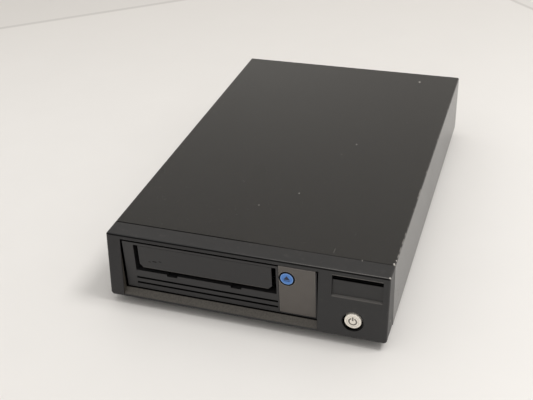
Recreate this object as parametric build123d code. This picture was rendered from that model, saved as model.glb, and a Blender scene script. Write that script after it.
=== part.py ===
from build123d import *
import math
import os

# A half-height data tape drive in its tabletop case, in millimetres.
# +X is to the right seen from the front, +Y runs to the back, +Z is up.
# The origin is on the surface the feet stand on, under the middle of the case.

# ---- Used all over ----
CUT = 1.0                   # how far a cutter reaches past what it cuts
SHEET = 1.0                 # painted or plated steel sheet
NEST = 0.2                  # clearance between sheets that slide into each other
MOULD_WALL = 2.2            # the front bezel's wall
THIN_WALL = 1.2             # small moulded walls and tubes
BOARD = 1.6                 # thickness of the circuit boards
SPIN_CLEAR = 0.06           # radial clearance in running bores
NEAR = 0.05                 # how close an edge lies to a place to be picked there

# ---- Screws ----
SCREW_RADIUS = 1.5
SCREW_HOLE = 1.7
SCREW_HEAD = 2.8
SCREW_HEAD_HIGH = 1.6
SCREW_SHORT = 5.0           # length under the head
SCREW_INLET = 7.0
SCREW_FAN = 12.0

# ---- Case ----
CASE_WIDTH = 213.0
CASE_DEPTH = 334.4          # from the bezel's bottom lip to the cover's rear edge
BROW = 4.2                  # from the drive's bezel up to the case's top
SHEET_BEND = 1.6            # outer radius of the cover's two long bends
COVER_TAB_WIDTH = 12.0
COVER_TAB_DROP = 11.5       # from the case's top to a tab's lower end
COVER_TAB_INSET = 14.0      # from the case's sides to the outer tabs
COVER_SCREW_DROP = 7.0      # from the case's top to the tabs' screws
TRAY_FLANGE = 11.0          # height of the tray's upturned sides
TRAY_START = 1.0            # from the cover's front edge back to the tray
TRAY_VENT_WIDTH = 3.0
TRAY_VENT_LENGTH = 32.0
TRAY_VENT_PITCH = 8.0
TRAY_VENT_GAP = 30.0        # from the drive's back to the tray's slots
TRAY_VENT_INSET = 40.0      # from the case's sides to the tray's slots

# ---- Feet ----
FOOT_HEIGHT = 6.0
FOOT_RADIUS = 8.5
FOOT_TAPER = 0.9            # how much narrower the foot is at the ground
FOOT_ROUND = 0.8
FOOT_WEB = 3.0              # rubber between the screw's head and the tray
FOOT_SEAT_GAP = 0.4         # round the screw's head
FOOT_INSET = 24.0           # from the case's sides, top front edge and back
FOOT_SCREW_END = 2.0        # how far the screw's end stands above the tray's floor

# ---- Front bezel ----
BEZEL_LEAN = 6.5            # the bottom lip stands this far ahead of the top edge
LIP_DEPTH = 15.3            # the bezel's own top and sides, back to the seam
SEAM = 0.3                  # seam between the bezel's lip and the cover
TONGUE = 4.0                # how far the rebate goes in under the cover
TONGUE_ROOT = 2.0           # how far it starts ahead of the seam
TONGUE_WALL = 1.4
TONGUE_DROP = 14.0          # how far it comes down the sides
BEZEL_ROUND = 1.5           # all round the front
BEZEL_CORNER = 2.6          # the lower corners seen from the front
SILL_FRONT = 1.4            # height of the sill's front edge above the case's bottom
SILL_LAND = 0.1             # flat of the sill ahead of the drive
OPENING_ROUND = 0.5         # along the opening's sides and top
JAMB_DEPTH = 13.0           # the walls round the drive's opening

# ---- Badge's place and its blank plate ----
BADGE_MARGIN = 9.9          # from the drive's opening to the badge's place
BADGE_EDGE = 4.6            # from the badge's place to the case's right side
BADGE_DROP = 4.2            # from the case's top to the badge's place
BADGE_HEIGHT = 16.3
BADGE_DEPTH = 1.6
BADGE_SLOT = 2.9            # height of the finger slot over the plate
BADGE_SLOT_DEPTH = 5.0
BADGE_LEDGE = 0.6           # height of the sloping ledge under the plate
BADGE_PLATE = 0.8           # thickness of the plate
BADGE_GAP = 0.3             # round the plate

# ---- Power button and its switch ----
BUTTON_OFFSET = 0.6         # to the right of the middle of the bezel's right block
BUTTON_HEIGHT = 14.1        # from the case's bottom
BUTTON_RADIUS = 6.0
BUTTON_GAP = 0.8
BUTTON_WALL = 1.4           # the hollow cap's wall
BUTTON_ROUND = 0.5
BUTTON_COLLAR = 1.2         # width of the sunk collar round the button's bore
BUTTON_SINK = 0.4           # how far the collar lies under the face
BUTTON_TRAVEL = 1.2
BUTTON_PROUD = 0.3          # the cap still stands this far out when pressed
BUTTON_CAP = 1.9            # the cap's thickness behind its pressed place
BUTTON_SLEEVE = 8.0         # length of the guide behind the face
BUTTON_SLEEVE_WALL = 2.6
BUTTON_FLANGE = 1.2         # how far the stop flange stands out past the bore
BUTTON_STEM = 2.4
STOP_GAP = 0.1              # between a button's stop and what stops it
SPRING_WIRE = 0.8
SPRING_GAP = 0.3            # between the spring and the stem
SWITCH_SIZE = 8.0
SWITCH_DEPTH = 6.0
SWITCH_GAP = 8.0            # from the sleeve's end to the switch
SWITCH_STEM = 2.0           # how far the stem starts into the switch
SWITCH_BACK = 1.5           # the switch's back wall
BOSS_SPREAD = 9.0           # from the button's axis to each of the board's bosses
BOSS_RADIUS = 3.2
BOSS_GAP = 0.8              # between the bosses and the button's flange
BOSS_BORE = 8.0
SWITCH_BOARD_UNDER = 6.0    # the board's lower edge, under the button's axis

# ---- Tape drive: outside ----
DRIVE_LEFT = 12.7           # from the case's left side to the drive's bezel
DRIVE_BOTTOM = 6.6          # from the case's bottom to the drive's bezel
DRIVE_WIDTH = 148.8
DRIVE_DEPTH = 210.0
OPENING_GAP_LEFT = 1.4
OPENING_GAP_RIGHT = 1.1
OPENING_GAP_Z = 0.3         # over and under the drive's bezel
DRIVE_BEZEL_DEPTH = 8.0
DRIVE_BEZEL_WALL = 2.0
DRIVE_BEZEL_FACE = 3.4      # thickness of its front
DRIVE_BEZEL_EDGE = 0.3      # the small round along its front edges

# ---- Slot, ribs and door in the drive's bezel ----
SLOT_LEFT = 8.8             # from the drive bezel's left side
SLOT_BOTTOM = 16.4          # from the drive bezel's bottom
SLOT_WIDTH = 110.3
SLOT_HEIGHT = 23.0
SLOT_TOP = 2.6              # from the slot up to the drive bezel's top
NOTCH_WIDTH = 8.4
NOTCH_DEPTH = 1.6
NOTCH_CENTRES = (28.9, 79.3)    # from the slot's left end
RIB_GROOVE = 0.8
RIB_GROOVE_DEPTH = 2.2
RIB_RAKE = 0.2              # how far each rib's upper edge leans back
RIB_TOPS = (10.3, 5.5)      # the grooves' upper edges, from the drive bezel's bottom
RIB_OVER_LEFT = 0.3         # how far the ribs run past the slot
RIB_OVER_RIGHT = 0.8
DOOR_SIDE_GAP = 3.4
DOOR_BOTTOM_GAP = 3.4
DOOR_TOP_GAP = 0.3
DOOR_THICK = 1.4
DOOR_RECESS = 0.25
DOOR_CORNER = 2.8
DOOR_EDGE = 0.25
DOOR_BARREL = 1.0
HINGE_PIN_RADIUS = 0.6
HINGE_PIN_SEAT = 2.0        # how far the pin goes into the bezel at each end
HINGE_CLEAR = 0.05
HINGE_POCKET = 0.15         # clearance round the door's barrel
HINGE_BACK = 2.0            # from the drive's face back to the hinge line
HINGE_DROP = 1.5            # from the drive bezel's top down to the hinge line

# ---- Status panel and eject button ----
PANEL_MARGIN_LEFT = 1.9     # from the slot to the panel
PANEL_MARGIN_RIGHT = 0.9    # from the panel to the drive bezel's right side
PANEL_BOTTOM = 1.2
PANEL_THICK = 1.4
PANEL_GAP = 0.25
PANEL_EDGE = 0.25
EJECT_INSET = 6.1           # from the panel's left side to the button's axis
EJECT_DROP = 10.1           # from the drive bezel's top to the button's axis
EJECT_RADIUS = 4.9
EJECT_GAP = 0.6             # round the button in the drive's bezel
EJECT_WINDOW = 1.0          # round the button in the panel
EJECT_PROUD = 0.3
EJECT_ROUND = 0.4
EJECT_TRAVEL = 1.0
EJECT_FLANGE = 0.4          # how far the stop flange stands out past the bore
EJECT_STEM = 1.5
TACT_SIZE = 6.0
TACT_DEPTH = 2.4
FRONT_BOARD_GAP = 5.0       # from the drive bezel's back to its board
FRONT_BOARD_LOW = 6.5       # from the drive bezel's bottom
FRONT_BOARD_DROP = 4.0      # from the drive bezel's top
BOARD_POST = 2.0            # radius of the posts behind the panel
BOARD_POST_HEIGHTS = (9.0, 18.0)    # from the drive bezel's bottom

# ---- Tape drive: chassis ----
BODY_INSET = 1.25           # the chassis is this much inside the drive's bezel
BODY_LIFT = 0.3             # and this far above its bottom
CAST_WALL = 2.5
FLOOR_UNDER = 3.4           # from the drive bezel's bottom to the cast floor's underside
FLOOR_GAP = 0.3             # running clearance over the cast floor
LID_THICK = 0.8
LID_DROP = 0.6              # from the drive bezel's top down to the lid's top
LID_VENT_WIDTH = 3.0
LID_VENT_LENGTH = 20.0
LID_VENT_PITCH = 10.5
LID_VENT_INSET = 20.0       # from the chassis's back to the slots
LID_SIDE_MARGIN = 10.0
LID_POST = 3.0              # radius of the cast posts for the lid's screws
LID_POST_BITE = 0.5         # how far a post runs into the wall beside it
LID_POST_FRONT = 16.0       # from the chassis's front to its first posts
LOGIC_GAP = 0.5             # round the board under the cast floor
CONNECTOR_SIZE = (44.0, 6.0, 7.0)
CONNECTOR_LIFT = 1.0        # from the drive bezel's bottom

# ---- Cartridge bay and loader ----
CARTRIDGE_DEPTH = 102.0
SLOT_SIDE_CLEAR = 2.25      # between a cartridge and each end of the slot
SLOT_TOP_CLEAR = 0.6        # over and under a cartridge in the slot
CARTRIDGE_PLAY = 0.4        # round a cartridge in the carrier
BAY_START = 26.0            # from the drive's face to a loaded cartridge
CARRIER_SHEET = 0.8
CARRIER_LIP = 7.0           # width of the lips that carry the cartridge
CARRIER_FRAME_X = 16.0      # sheet left beside the carrier's top window
CARRIER_FRAME_Y = 20.0
CARRIER_WINDOW_ROUND = 6.0
TAPE_DOOR_LENGTH = 34.0     # the gap in the carrier where the tape comes out
TAPE_DOOR_LIFT = 3.0
CAM_PLATE = 1.2
CAM_GAP = 0.4
RAIL_WALL = 2.0
RAIL_INSET = 2.0            # the cast rails stop this far inside the bay's ends
RAIL_OVER = 3.0             # how far they stand above the pins
CAM_TRAVEL = 12.0
CARRIER_DROP = 3.6
CAM_PIN_RADIUS = 1.2
CAM_PIN_CLEAR = 0.1
CAM_PIN_COLLAR = 1.0        # how far the riveted collar stands round a pin
CAM_PIN_INSET = 21.0        # from the carrier's ends to its pins
CAM_PIN_HEIGHT = 17.0       # above the carrier's lip
CAM_PLATE_OVER = 2.6        # how far the cam plates stand above the pins
CAM_PLATE_INSET = 2.5       # from the bay's ends to the cam plates
CAM_WINDOW_LOW = 4.0        # from a cam plate's foot to its lightening window
CAM_WINDOW_HEIGHT = 9.0
CAM_WINDOW_INSET = 12.0
CAM_WINDOW_ROUND = 3.0
BRIDGE_WIDTH = 8.0
BRIDGE_THICK = 1.5
BRIDGE_INSET = 2.0

# ---- Reels ----
MOTOR_RADIUS = 23.0
MOTOR_HEIGHT = 4.0
MOTOR_FLANGE = 1.2
MOTOR_RIM = 3.0             # width of the flange outside the coils
MOTOR_COILS = 9
MOTOR_COIL_LENGTH = 7.0
MOTOR_COIL_GAP = 1.6
MOTOR_HUB = 5.0
ROTOR_GAP = 0.4
ROTOR_THICK = 2.0
ROTOR_INSET = 1.0           # the rotor is this much smaller than the motor
SHAFT_RADIUS = 2.5
CLUTCH_RADIUS = 14.0
CLUTCH_HOLLOW = 8.0
CLUTCH_DROP = 3.5           # from the slot's floor down to the clutch's face
CLUTCH_TEETH = 24
CLUTCH_TOOTH = (3.2, 1.4, 1.3)
TAPE_WIDTH = 12.65
TAPE_SIDE_CLEAR = 0.4       # between the tape and the reel's flanges
REEL_GAP = 3.75             # from the take-up reel to the chassis's walls
REEL_HUB = 14.0
REEL_HUB_WALL = 3.0
REEL_HUB_FLOOR = 3.0
REEL_FLANGE = 1.2
REEL_RIM = 4.5              # flange left outside and inside its windows
REEL_WINDOWS = 3
REEL_SPOKE = 6.2            # flange left between two windows

# ---- Tape path: rollers and head on an arc behind the cartridge ----
ROLLER_RADIUS = 5.0
ROLLER_FLANGE = 1.4
ROLLER_RIM = 1.0            # how far a flange stands out past its roller
ROLLER_GAP = 0.3            # over and under a roller
POST_RADIUS = 1.5
POST_FOOT = 2.0             # how far the cast boss stands out round an axle
POST_HEAD = 1.4
PATH_GAP = 3.0              # from the end rollers to the cartridge and the rear wall
PATH_ANGLE = 70.0           # of the end rollers, from the head's direction, in degrees
HEAD_WALL_GAP = 1.0         # from the head's back to the chassis's wall
HEAD_TRAVEL = 1.5
HEAD_LENGTH = 18.0
HEAD_THICK = 6.0
HEAD_OVER = 2.0             # how far the carriage stands over and under the tape
HEAD_ROD = 1.4
HEAD_ROD_SPREAD = 6.5
HEAD_FOOT = 5.0
HEAD_EDGE = 1.2
HEAD_POCKET = (4.0, 7.0, 3.0)   # depth, width and rim of the hollow in its back
HEAD_BAR = 3.0              # radius of the two ceramic bars
HEAD_BAR_SPREAD = 3.2
HEAD_BAR_OVER = 1.0
HEAD_SEAT = 2.0             # thickness of the head's own base
HEAD_TAPE_GAP = 0.2

# ---- Brackets that hold the drive ----
BRACKET_INSET = 14.0        # from the chassis's ends
BRACKET_FOOT = 8.0
BRACKET_HEIGHT = 24.0
BRACKET_SCREW_INSET = 20.0
BRACKET_SCREW_HEIGHT = 10.0     # from the drive bezel's bottom
BRACKET_WINDOW_INSET = 40.0
BRACKET_WINDOW_LOW = 9.0
BRACKET_WINDOW_ROUND = 4.0
THREAD_CLEAR = 0.1          # round a screw in the metal it bites

# ---- Rear panel ----
PANEL_SET_IN = 3.0          # from the cover's rear edge to the panel's outer face
REAR_FLANGE = 8.0
REAR_FLANGE_INSET = 6.0
REAR_VENT_WIDTH = 2.6
REAR_VENT_LENGTH = 28.0
REAR_VENT_PITCH = 3.5
REAR_VENT_LEFT = 10.0       # from the case's left side
REAR_VENT_RIGHT = 18.0      # from the left data port's axis
INLET_INSET = 26.5          # from the case's right side to the inlet's axis
FAN_TO_INLET = 50.0         # between their axes
PORT_TO_FAN = 72.0

# ---- Fan ----
FAN_SIZE = 40.0
FAN_DEPTH = 20.0
FAN_PITCH = 32.0            # between its screws
FAN_WALL = 1.2
FAN_CORNER = 2.5
FAN_HUB = 9.5
FAN_SHAFT = 1.5
FAN_SHAFT_LENGTH = 8.0
FAN_BACK = 2.0              # thickness of the carrier behind the hub
FAN_STRUTS = 4
FAN_STRUT = 1.7
FAN_WAIST = 3.5             # thickness of the lugs at both ends
FAN_WAIST_CUT = 1.4
FAN_LUG = 7.0
FAN_BLADES = 7
FAN_BLADE_THICK = 1.2
FAN_BLADE_CHORD = 13.0
FAN_BLADE_PITCH = 48.0      # degrees
FAN_BLADE_ROOT = 0.8        # how far the blades go into the hub
FAN_TIP_GAP = 0.6
FAN_RUN_GAP = 0.6           # between the rotor and its carrier
FAN_GRILLE_GAP = 2.0        # between the rotor and the rear panel
FAN_HUB_ROUND = 1.5
GRILLE_RINGS = 3
GRILLE_SLOT = 3.0
GRILLE_BAR = 1.6
GRILLE_SPOKE = 2.2
GRILLE_TURN = 45.0          # degrees, the spokes' lean

# ---- Mains inlet ----
INLET_SIZE = (26.8, 19.4)
INLET_CUT_CORNER = 4.5
INLET_GAP = 0.3
INLET_FLANGE = (48.0, 24.0)
INLET_FLANGE_ROUND = 4.0
INLET_SCREWS = 40.0
INLET_THICK = 2.6
INLET_COUNTERSINK = 1.4
INLET_CAVITY = (24.6, 16.9)
INLET_CAVITY_CORNER = 4.0
INLET_DEPTH = 16.0
INLET_BODY = 21.0
BLADE_SIZE = (2.0, 4.0)
BLADE_SPREAD = 7.0
BLADE_STEP = 2.0            # the earth blade's axis is this far up, the others' down
BLADE_TAG = 7.0
BLADE_RECESS = 1.5          # from the flange's face to the blades' tips

# ---- Data ports ----
PORT_PITCH = 30.0
PORT_SHELL = (24.0, 9.6)
PORT_SHELL_ROUND = 1.0
PORT_GAP = 0.3
PORT_CAVITY = (21.6, 7.2)
PORT_CAVITY_DEPTH = 14.0
PORT_LENGTH = 22.0
PORT_PROUD = 1.5
PORT_TONGUE = (16.0, 1.2)
PORT_TONGUE_RECESS = 4.6
PORT_BOARD_MARGIN = 16.0
PORT_BOARD_DEPTH = 27.0
PORT_BOARD_GAP = 1.0        # from the rear panel

# ---- Power supply beside the drive ----
SUPPLY_LENGTH = 170.0
SUPPLY_START = 29.0         # from the power switch's board
SUPPLY_GAP = 1.3
SUPPLY_LIFT = 6.0
SUPPLY_SIDE = 34.0
SUPPLY_EDGE = 1.0           # the board stops this far inside its bracket
SUPPLY_SPACER = 3.0
SUPPLY_SPACER_INSET = 6.5
SUPPLY_VENT = (16.0, 3.0)
SUPPLY_VENT_PITCH = 13.0
SUPPLY_VENT_INSET = 20.0
SUPPLY_VENT_HEIGHT = 22.0
CORE_SIZE = (22.0, 18.0, 27.0)
CORE_LEG = 4.5
CORE_GAP = 0.4
CORE_AT = 78.0              # from the board's front end
WINDING_LENGTH = 28.0
WINDING_ROUND = 4.0
HEATSINK_AT = (46.0, 112.0)
HEATSINK_INSET = 3.0
HEATSINK_HEIGHT = 30.0
HEATSINK_PLATE = 2.4
HEATSINK_FIN = 7.0
HEATSINK_FIN_THICK = 1.4
HEATSINK_FIN_PITCH = 6.0
HEATSINK_FOOT = 4.0
INPUT_CAN = (9.0, 32.0)     # radius and height
INPUT_CAN_AT = 26.0
INPUT_CAN_PITCH = 20.0
OUTPUT_CAN = (5.5, 24.0)
OUTPUT_CAN_AT = 134.0
OUTPUT_CAN_PITCH = 13.0
CAN_ROUND = 0.8
CHOKE_RING = 7.0
CHOKE_WIRE = 3.0
CHOKE_AT = 154.0
CHOKE_SINK = 0.05           # how far the ring's windings sit into their glue

# ---- Heights and widths worked out from the sizes ----
DRIVE_HEIGHT = SLOT_BOTTOM + SLOT_HEIGHT + SLOT_TOP
CASE_HEIGHT = DRIVE_BOTTOM + DRIVE_HEIGHT + BROW
LEFT = -CASE_WIDTH / 2
RIGHT = CASE_WIDTH / 2
FRONT = -CASE_DEPTH / 2
BACK = CASE_DEPTH / 2
BOTTOM = FOOT_HEIGHT
TOP = BOTTOM + CASE_HEIGHT
FLOOR = BOTTOM + SHEET
TOP_FRONT = FRONT + BEZEL_LEAN
SEAM_Y = TOP_FRONT + LIP_DEPTH
INSIDE = SHEET + NEST
CARTRIDGE_WIDTH = SLOT_WIDTH - 2 * SLOT_SIDE_CLEAR
CARTRIDGE_HEIGHT = SLOT_HEIGHT - 2 * SLOT_TOP_CLEAR


def face_y(z):
    """Where the leaning front face stands at height z."""
    return FRONT + BEZEL_LEAN * (z - BOTTOM) / CASE_HEIGHT


def around(middle, size):
    """The (low, high) pair of a size about its middle."""
    return (middle - size / 2, middle + size / 2)


def inset(pair, by):
    """The pair with both ends moved in, or out where by is negative."""
    return (pair[0] + by, pair[1] - by)


def past(pair):
    """The pair made longer at both ends, for a cutter that goes right through."""
    return inset(pair, -CUT)


def outward(side, start, size):
    """The (low, high) pair that runs outwards from start on side -1 or 1."""
    return tuple(sorted((start, start + side * size)))


def row(low, high, pitch):
    """Evenly spaced places between low and high, as many as the pitch allows."""
    count = int((high - low) / pitch)
    return [low + (high - low) * (i + 0.5) / count for i in range(count)]


# ---- Places in the front ----
DRIVE_X = (LEFT + DRIVE_LEFT, LEFT + DRIVE_LEFT + DRIVE_WIDTH)
DRIVE_Z = (BOTTOM + DRIVE_BOTTOM, BOTTOM + DRIVE_BOTTOM + DRIVE_HEIGHT)
OPEN_X = (DRIVE_X[0] - OPENING_GAP_LEFT, DRIVE_X[1] + OPENING_GAP_RIGHT)
OPEN_Z = inset(DRIVE_Z, -OPENING_GAP_Z)
DRIVE_FACE = face_y(OPEN_Z[1])
DRIVE_BACK = DRIVE_FACE + DRIVE_DEPTH
BODY_FRONT = DRIVE_FACE + DRIVE_BEZEL_DEPTH
SLOT_X = (DRIVE_X[0] + SLOT_LEFT, DRIVE_X[0] + SLOT_LEFT + SLOT_WIDTH)
SLOT_Z = (DRIVE_Z[0] + SLOT_BOTTOM, DRIVE_Z[0] + SLOT_BOTTOM + SLOT_HEIGHT)
SLOT_MID = sum(SLOT_X) / 2
RIBS_X = (SLOT_X[0] - RIB_OVER_LEFT, SLOT_X[1] + RIB_OVER_RIGHT)
BARREL_X = inset(SLOT_X, DOOR_SIDE_GAP)
DOOR_Z = (SLOT_Z[0] + DOOR_BOTTOM_GAP, SLOT_Z[1] - DOOR_TOP_GAP)
HINGE_Y = DRIVE_FACE + HINGE_BACK
HINGE_Z = DRIVE_Z[1] - HINGE_DROP
PANEL_X = (SLOT_X[1] + PANEL_MARGIN_LEFT, DRIVE_X[1] - PANEL_MARGIN_RIGHT)
PANEL_Z = (DRIVE_Z[0] + PANEL_BOTTOM, DRIVE_Z[1])
EJECT_AT = (PANEL_X[0] + EJECT_INSET, DRIVE_Z[1] - EJECT_DROP)
FRONT_BOARD_Y = BODY_FRONT + FRONT_BOARD_GAP
BADGE_X = (OPEN_X[1] + BADGE_MARGIN, RIGHT - BADGE_EDGE)
BADGE_Z = (TOP - BADGE_DROP - BADGE_HEIGHT, TOP - BADGE_DROP)
POWER_AT = ((OPEN_X[1] + RIGHT) / 2 + BUTTON_OFFSET, BOTTOM + BUTTON_HEIGHT)
BORE_RADIUS = BUTTON_RADIUS + BUTTON_GAP
COLLAR_RADIUS = BORE_RADIUS + BUTTON_COLLAR
COLLAR_Y = face_y(POWER_AT[1] + COLLAR_RADIUS) + BUTTON_SINK
SLEEVE_END = COLLAR_Y + BUTTON_SLEEVE
SWITCH_Y = SLEEVE_END + SWITCH_GAP
SWITCH_BOARD_Y = (SWITCH_Y + SWITCH_DEPTH, SWITCH_Y + SWITCH_DEPTH + BOARD)
BOSS_Z = POWER_AT[1] + BORE_RADIUS + BUTTON_FLANGE + BOSS_GAP + BOSS_RADIUS
BOSS_XS = around(POWER_AT[0], 2 * BOSS_SPREAD)

# ---- Places in the drive ----
BODY_X = inset(DRIVE_X, BODY_INSET)
BODY_Y = (BODY_FRONT, DRIVE_BACK)
ROOM_X = inset(BODY_X, CAST_WALL)
FLOOR_TOP = DRIVE_Z[0] + FLOOR_UNDER + CAST_WALL
LID_TOP = DRIVE_Z[1] - LID_DROP
LID_UNDER = LID_TOP - LID_THICK
LID_POST_XS = inset(ROOM_X, LID_POST - LID_POST_BITE)
LID_POST_YS = (BODY_FRONT + LID_POST_FRONT, DRIVE_BACK - CAST_WALL - LID_POST + LID_POST_BITE)
LID_POSTS = [(x, y) for x in LID_POST_XS for y in LID_POST_YS]
BRACKET_Y = inset(BODY_Y, BRACKET_INSET)
BRACKET_SCREW_Y = inset(BRACKET_Y, BRACKET_SCREW_INSET)
BRACKET_SCREW_Z = DRIVE_Z[0] + BRACKET_SCREW_HEIGHT

BAY_Y = (DRIVE_FACE + BAY_START, DRIVE_FACE + BAY_START + CARTRIDGE_DEPTH)
BAY_Z0 = SLOT_Z[0]
CARRIER_HALF = CARTRIDGE_WIDTH / 2 + CARTRIDGE_PLAY + CARRIER_SHEET
CAM_X = CARRIER_HALF + CAM_GAP
RAIL_X = CAM_X + CAM_PLATE + CAM_GAP
PIN_Y = inset(BAY_Y, CAM_PIN_INSET)
PIN_Z = BAY_Z0 + CAM_PIN_HEIGHT
CAM_Y = (BAY_Y[0] + CAM_PLATE_INSET, BAY_Y[1] - CAM_TRAVEL - CAM_PLATE_INSET)
CAM_Z = (FLOOR_TOP + FLOOR_GAP, PIN_Z + CAM_PLATE_OVER)
TAPE_MID = BAY_Z0 - CARRIER_DROP + CARTRIDGE_HEIGHT / 2
TAPE_Z = around(TAPE_MID, TAPE_WIDTH)
HUB_AT = (SLOT_MID, sum(BAY_Y) / 2)
ROTOR_Z = FLOOR_TOP + MOTOR_HEIGHT + ROTOR_GAP

ROOM_Y = (BAY_Y[1], DRIVE_BACK - CAST_WALL)
ROOM_HALF = (ROOM_Y[1] - ROOM_Y[0]) / 2
REEL_RADIUS = ROOM_HALF - REEL_GAP
REEL_AT = (ROOM_X[0] + REEL_GAP + REEL_RADIUS, sum(ROOM_Y) / 2)
ROLLER_Z = inset(TAPE_Z, -ROLLER_FLANGE)
HEAD_X = around(ROOM_X[1] - HEAD_WALL_GAP - HEAD_THICK / 2, HEAD_THICK)
HEAD_Z = inset(TAPE_Z, -HEAD_OVER)
BAR_X = HEAD_X[0] - HEAD_SEAT
PATH_RADIUS = (ROOM_HALF - ROLLER_RADIUS - ROLLER_RIM - PATH_GAP) / math.sin(math.radians(PATH_ANGLE))
PATH_X = BAR_X - HEAD_BAR - HEAD_TAPE_GAP - ROLLER_RADIUS
PATH_CENTRE_X = PATH_X - PATH_RADIUS * math.cos(math.radians(PATH_ANGLE / 2))
HEAD_Y = REEL_AT[1]
ROLLER_AT = [
    (
        PATH_CENTRE_X + PATH_RADIUS * math.cos(math.radians(PATH_ANGLE * share)),
        HEAD_Y + PATH_RADIUS * math.sin(math.radians(PATH_ANGLE * share)),
    )
    for share in (-1.0, -0.5, 0.5, 1.0)
]

# ---- Places in the back and in the tray ----
PANEL_Y = BACK - PANEL_SET_IN
PANEL_IN = PANEL_Y - SHEET
REAR_Z = (BOTTOM + INSIDE, TOP - INSIDE)
INLET_X = RIGHT - INLET_INSET
FAN_X = INLET_X - FAN_TO_INLET
FAN_Z = sum(REAR_Z) / 2
FAN_BORE = FAN_SIZE / 2 - FAN_WALL
FAN_Y = (PANEL_IN - FAN_DEPTH, PANEL_IN)
FAN_HOLES = [(x, z) for x in around(FAN_X, FAN_PITCH) for z in around(FAN_Z, FAN_PITCH)]
ROTOR_Y = (FAN_Y[0] + FAN_BACK + FAN_RUN_GAP, PANEL_IN - FAN_GRILLE_GAP)
PORT_XS = around(FAN_X - PORT_TO_FAN, PORT_PITCH)
PORT_MOUTH = PANEL_Y + PORT_PROUD
INLET_MOUTH = PANEL_Y + INLET_THICK
INLET_HOLES = around(INLET_X, INLET_SCREWS)
INLET_PINS = [
    (INLET_X - BLADE_SPREAD, FAN_Z - BLADE_STEP),
    (INLET_X, FAN_Z + BLADE_STEP),
    (INLET_X + BLADE_SPREAD, FAN_Z - BLADE_STEP),
]
COVER_TABS = (LEFT + COVER_TAB_INSET, (PORT_XS[1] + FAN_X) / 2, RIGHT - COVER_TAB_INSET)
COVER_TAB_Y = (PANEL_Y + NEST, PANEL_Y + NEST + SHEET)
COVER_SCREW_Z = TOP - COVER_SCREW_DROP
TRAY_X = (LEFT + INSIDE, RIGHT - INSIDE)
TRAY_Y = (SEAM_Y + SEAM + TRAY_START, PANEL_IN - NEST)
FOOT_AT = [
    (x, y)
    for x in (LEFT + FOOT_INSET, RIGHT - FOOT_INSET)
    for y in (TOP_FRONT + FOOT_INSET, BACK - FOOT_INSET)
]
SUPPLY_X = (
    BODY_X[1] + NEST + SHEET + SCREW_HEAD_HIGH + SUPPLY_GAP,
    TRAY_X[1] - SHEET - SUPPLY_GAP,
)
SUPPLY_Y = (SWITCH_BOARD_Y[1] + SUPPLY_START, SWITCH_BOARD_Y[1] + SUPPLY_START + SUPPLY_LENGTH)
SUPPLY_BOARD_X = (SUPPLY_X[0] + SHEET + NEST, SUPPLY_X[1] - SUPPLY_EDGE)
SUPPLY_BOARD_Y = inset(SUPPLY_Y, SUPPLY_EDGE)
SUPPLY_BOARD_Z = (FLOOR + SUPPLY_LIFT, FLOOR + SUPPLY_LIFT + BOARD)
SUPPLY_MID = sum(SUPPLY_BOARD_X) / 2
SUPPLY_TOP = SUPPLY_BOARD_Z[1]


# ---- Ways of making solids ----
def block(x, y, z):
    """A block between (low, high) pairs along the three axes."""
    size = Box(x[1] - x[0], y[1] - y[0], z[1] - z[0])
    return Pos(sum(x) / 2, sum(y) / 2, sum(z) / 2) * size


def post(x, y, z, radius):
    """An upright round bar at (x, y) between the heights z."""
    return Pos(x, y, sum(z) / 2) * Cylinder(radius, z[1] - z[0])


def bar_x(x, y, z, radius):
    """A round bar along X between the places x."""
    return Pos(sum(x) / 2, y, z) * Rot(0, 90, 0) * Cylinder(radius, x[1] - x[0])


def bar_y(x, y, z, radius):
    """A round bar along Y between the places y."""
    return Pos(x, sum(y) / 2, z) * Rot(90, 0, 0) * Cylinder(radius, y[1] - y[0])


def leaning(deep, low, high):
    """The two (y, z) ends of a line this deep behind the leaning face."""
    return [(face_y(low) + deep, low), (face_y(high) + deep, high)]


def profile_x(points, x):
    """A (y, z) outline drawn out along X."""
    face = Plane.YZ.offset(x[0]) * Polygon(*points, align=None)
    return extrude(face, x[1] - x[0], dir=(1, 0, 0))


def profile_y(points, y):
    """An (x, z) outline drawn out along Y."""
    face = Plane.XZ.offset(-y[0]) * Polygon(*points, align=None)
    return extrude(face, y[1] - y[0], dir=(0, 1, 0))


def rounded_y(x, y, z, radius):
    """A block along Y whose four long edges are rounded."""
    at = Plane((sum(x) / 2, y[0], sum(z) / 2), x_dir=(1, 0, 0), z_dir=(0, -1, 0))
    outline = at * RectangleRounded(x[1] - x[0], z[1] - z[0], radius)
    return extrude(outline, y[1] - y[0], dir=(0, 1, 0))


def vents_z(xs, y, z, width):
    """Long round-ended cutters down through z, one at each x."""
    shape = extrude(SlotOverall(y[1] - y[0], width, rotation=90), z[1] - z[0])
    return [Pos(x, sum(y) / 2, z[0]) * shape for x in xs]


def front_rim(shape):
    """The edges round a shape's front."""
    return shape.edges().group_by(Axis.Y)[0]


def pan_screw_y(x, y, z, length):
    """A pan-head screw driven forwards from the back, its head's seat at y."""
    head = bar_y(x, (y, y + SCREW_HEAD_HIGH), z, SCREW_HEAD)
    return head + bar_y(x, (y - length, y), z, SCREW_RADIUS)


# ---- The case ----
def folded(x, y, z, radius):
    """A block whose two upper long edges are rounded, as bent sheet is."""
    body = block(x, y, z)
    return fillet(body.edges().filter_by(Axis.Y).group_by(Axis.Z)[-1], radius)


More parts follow.
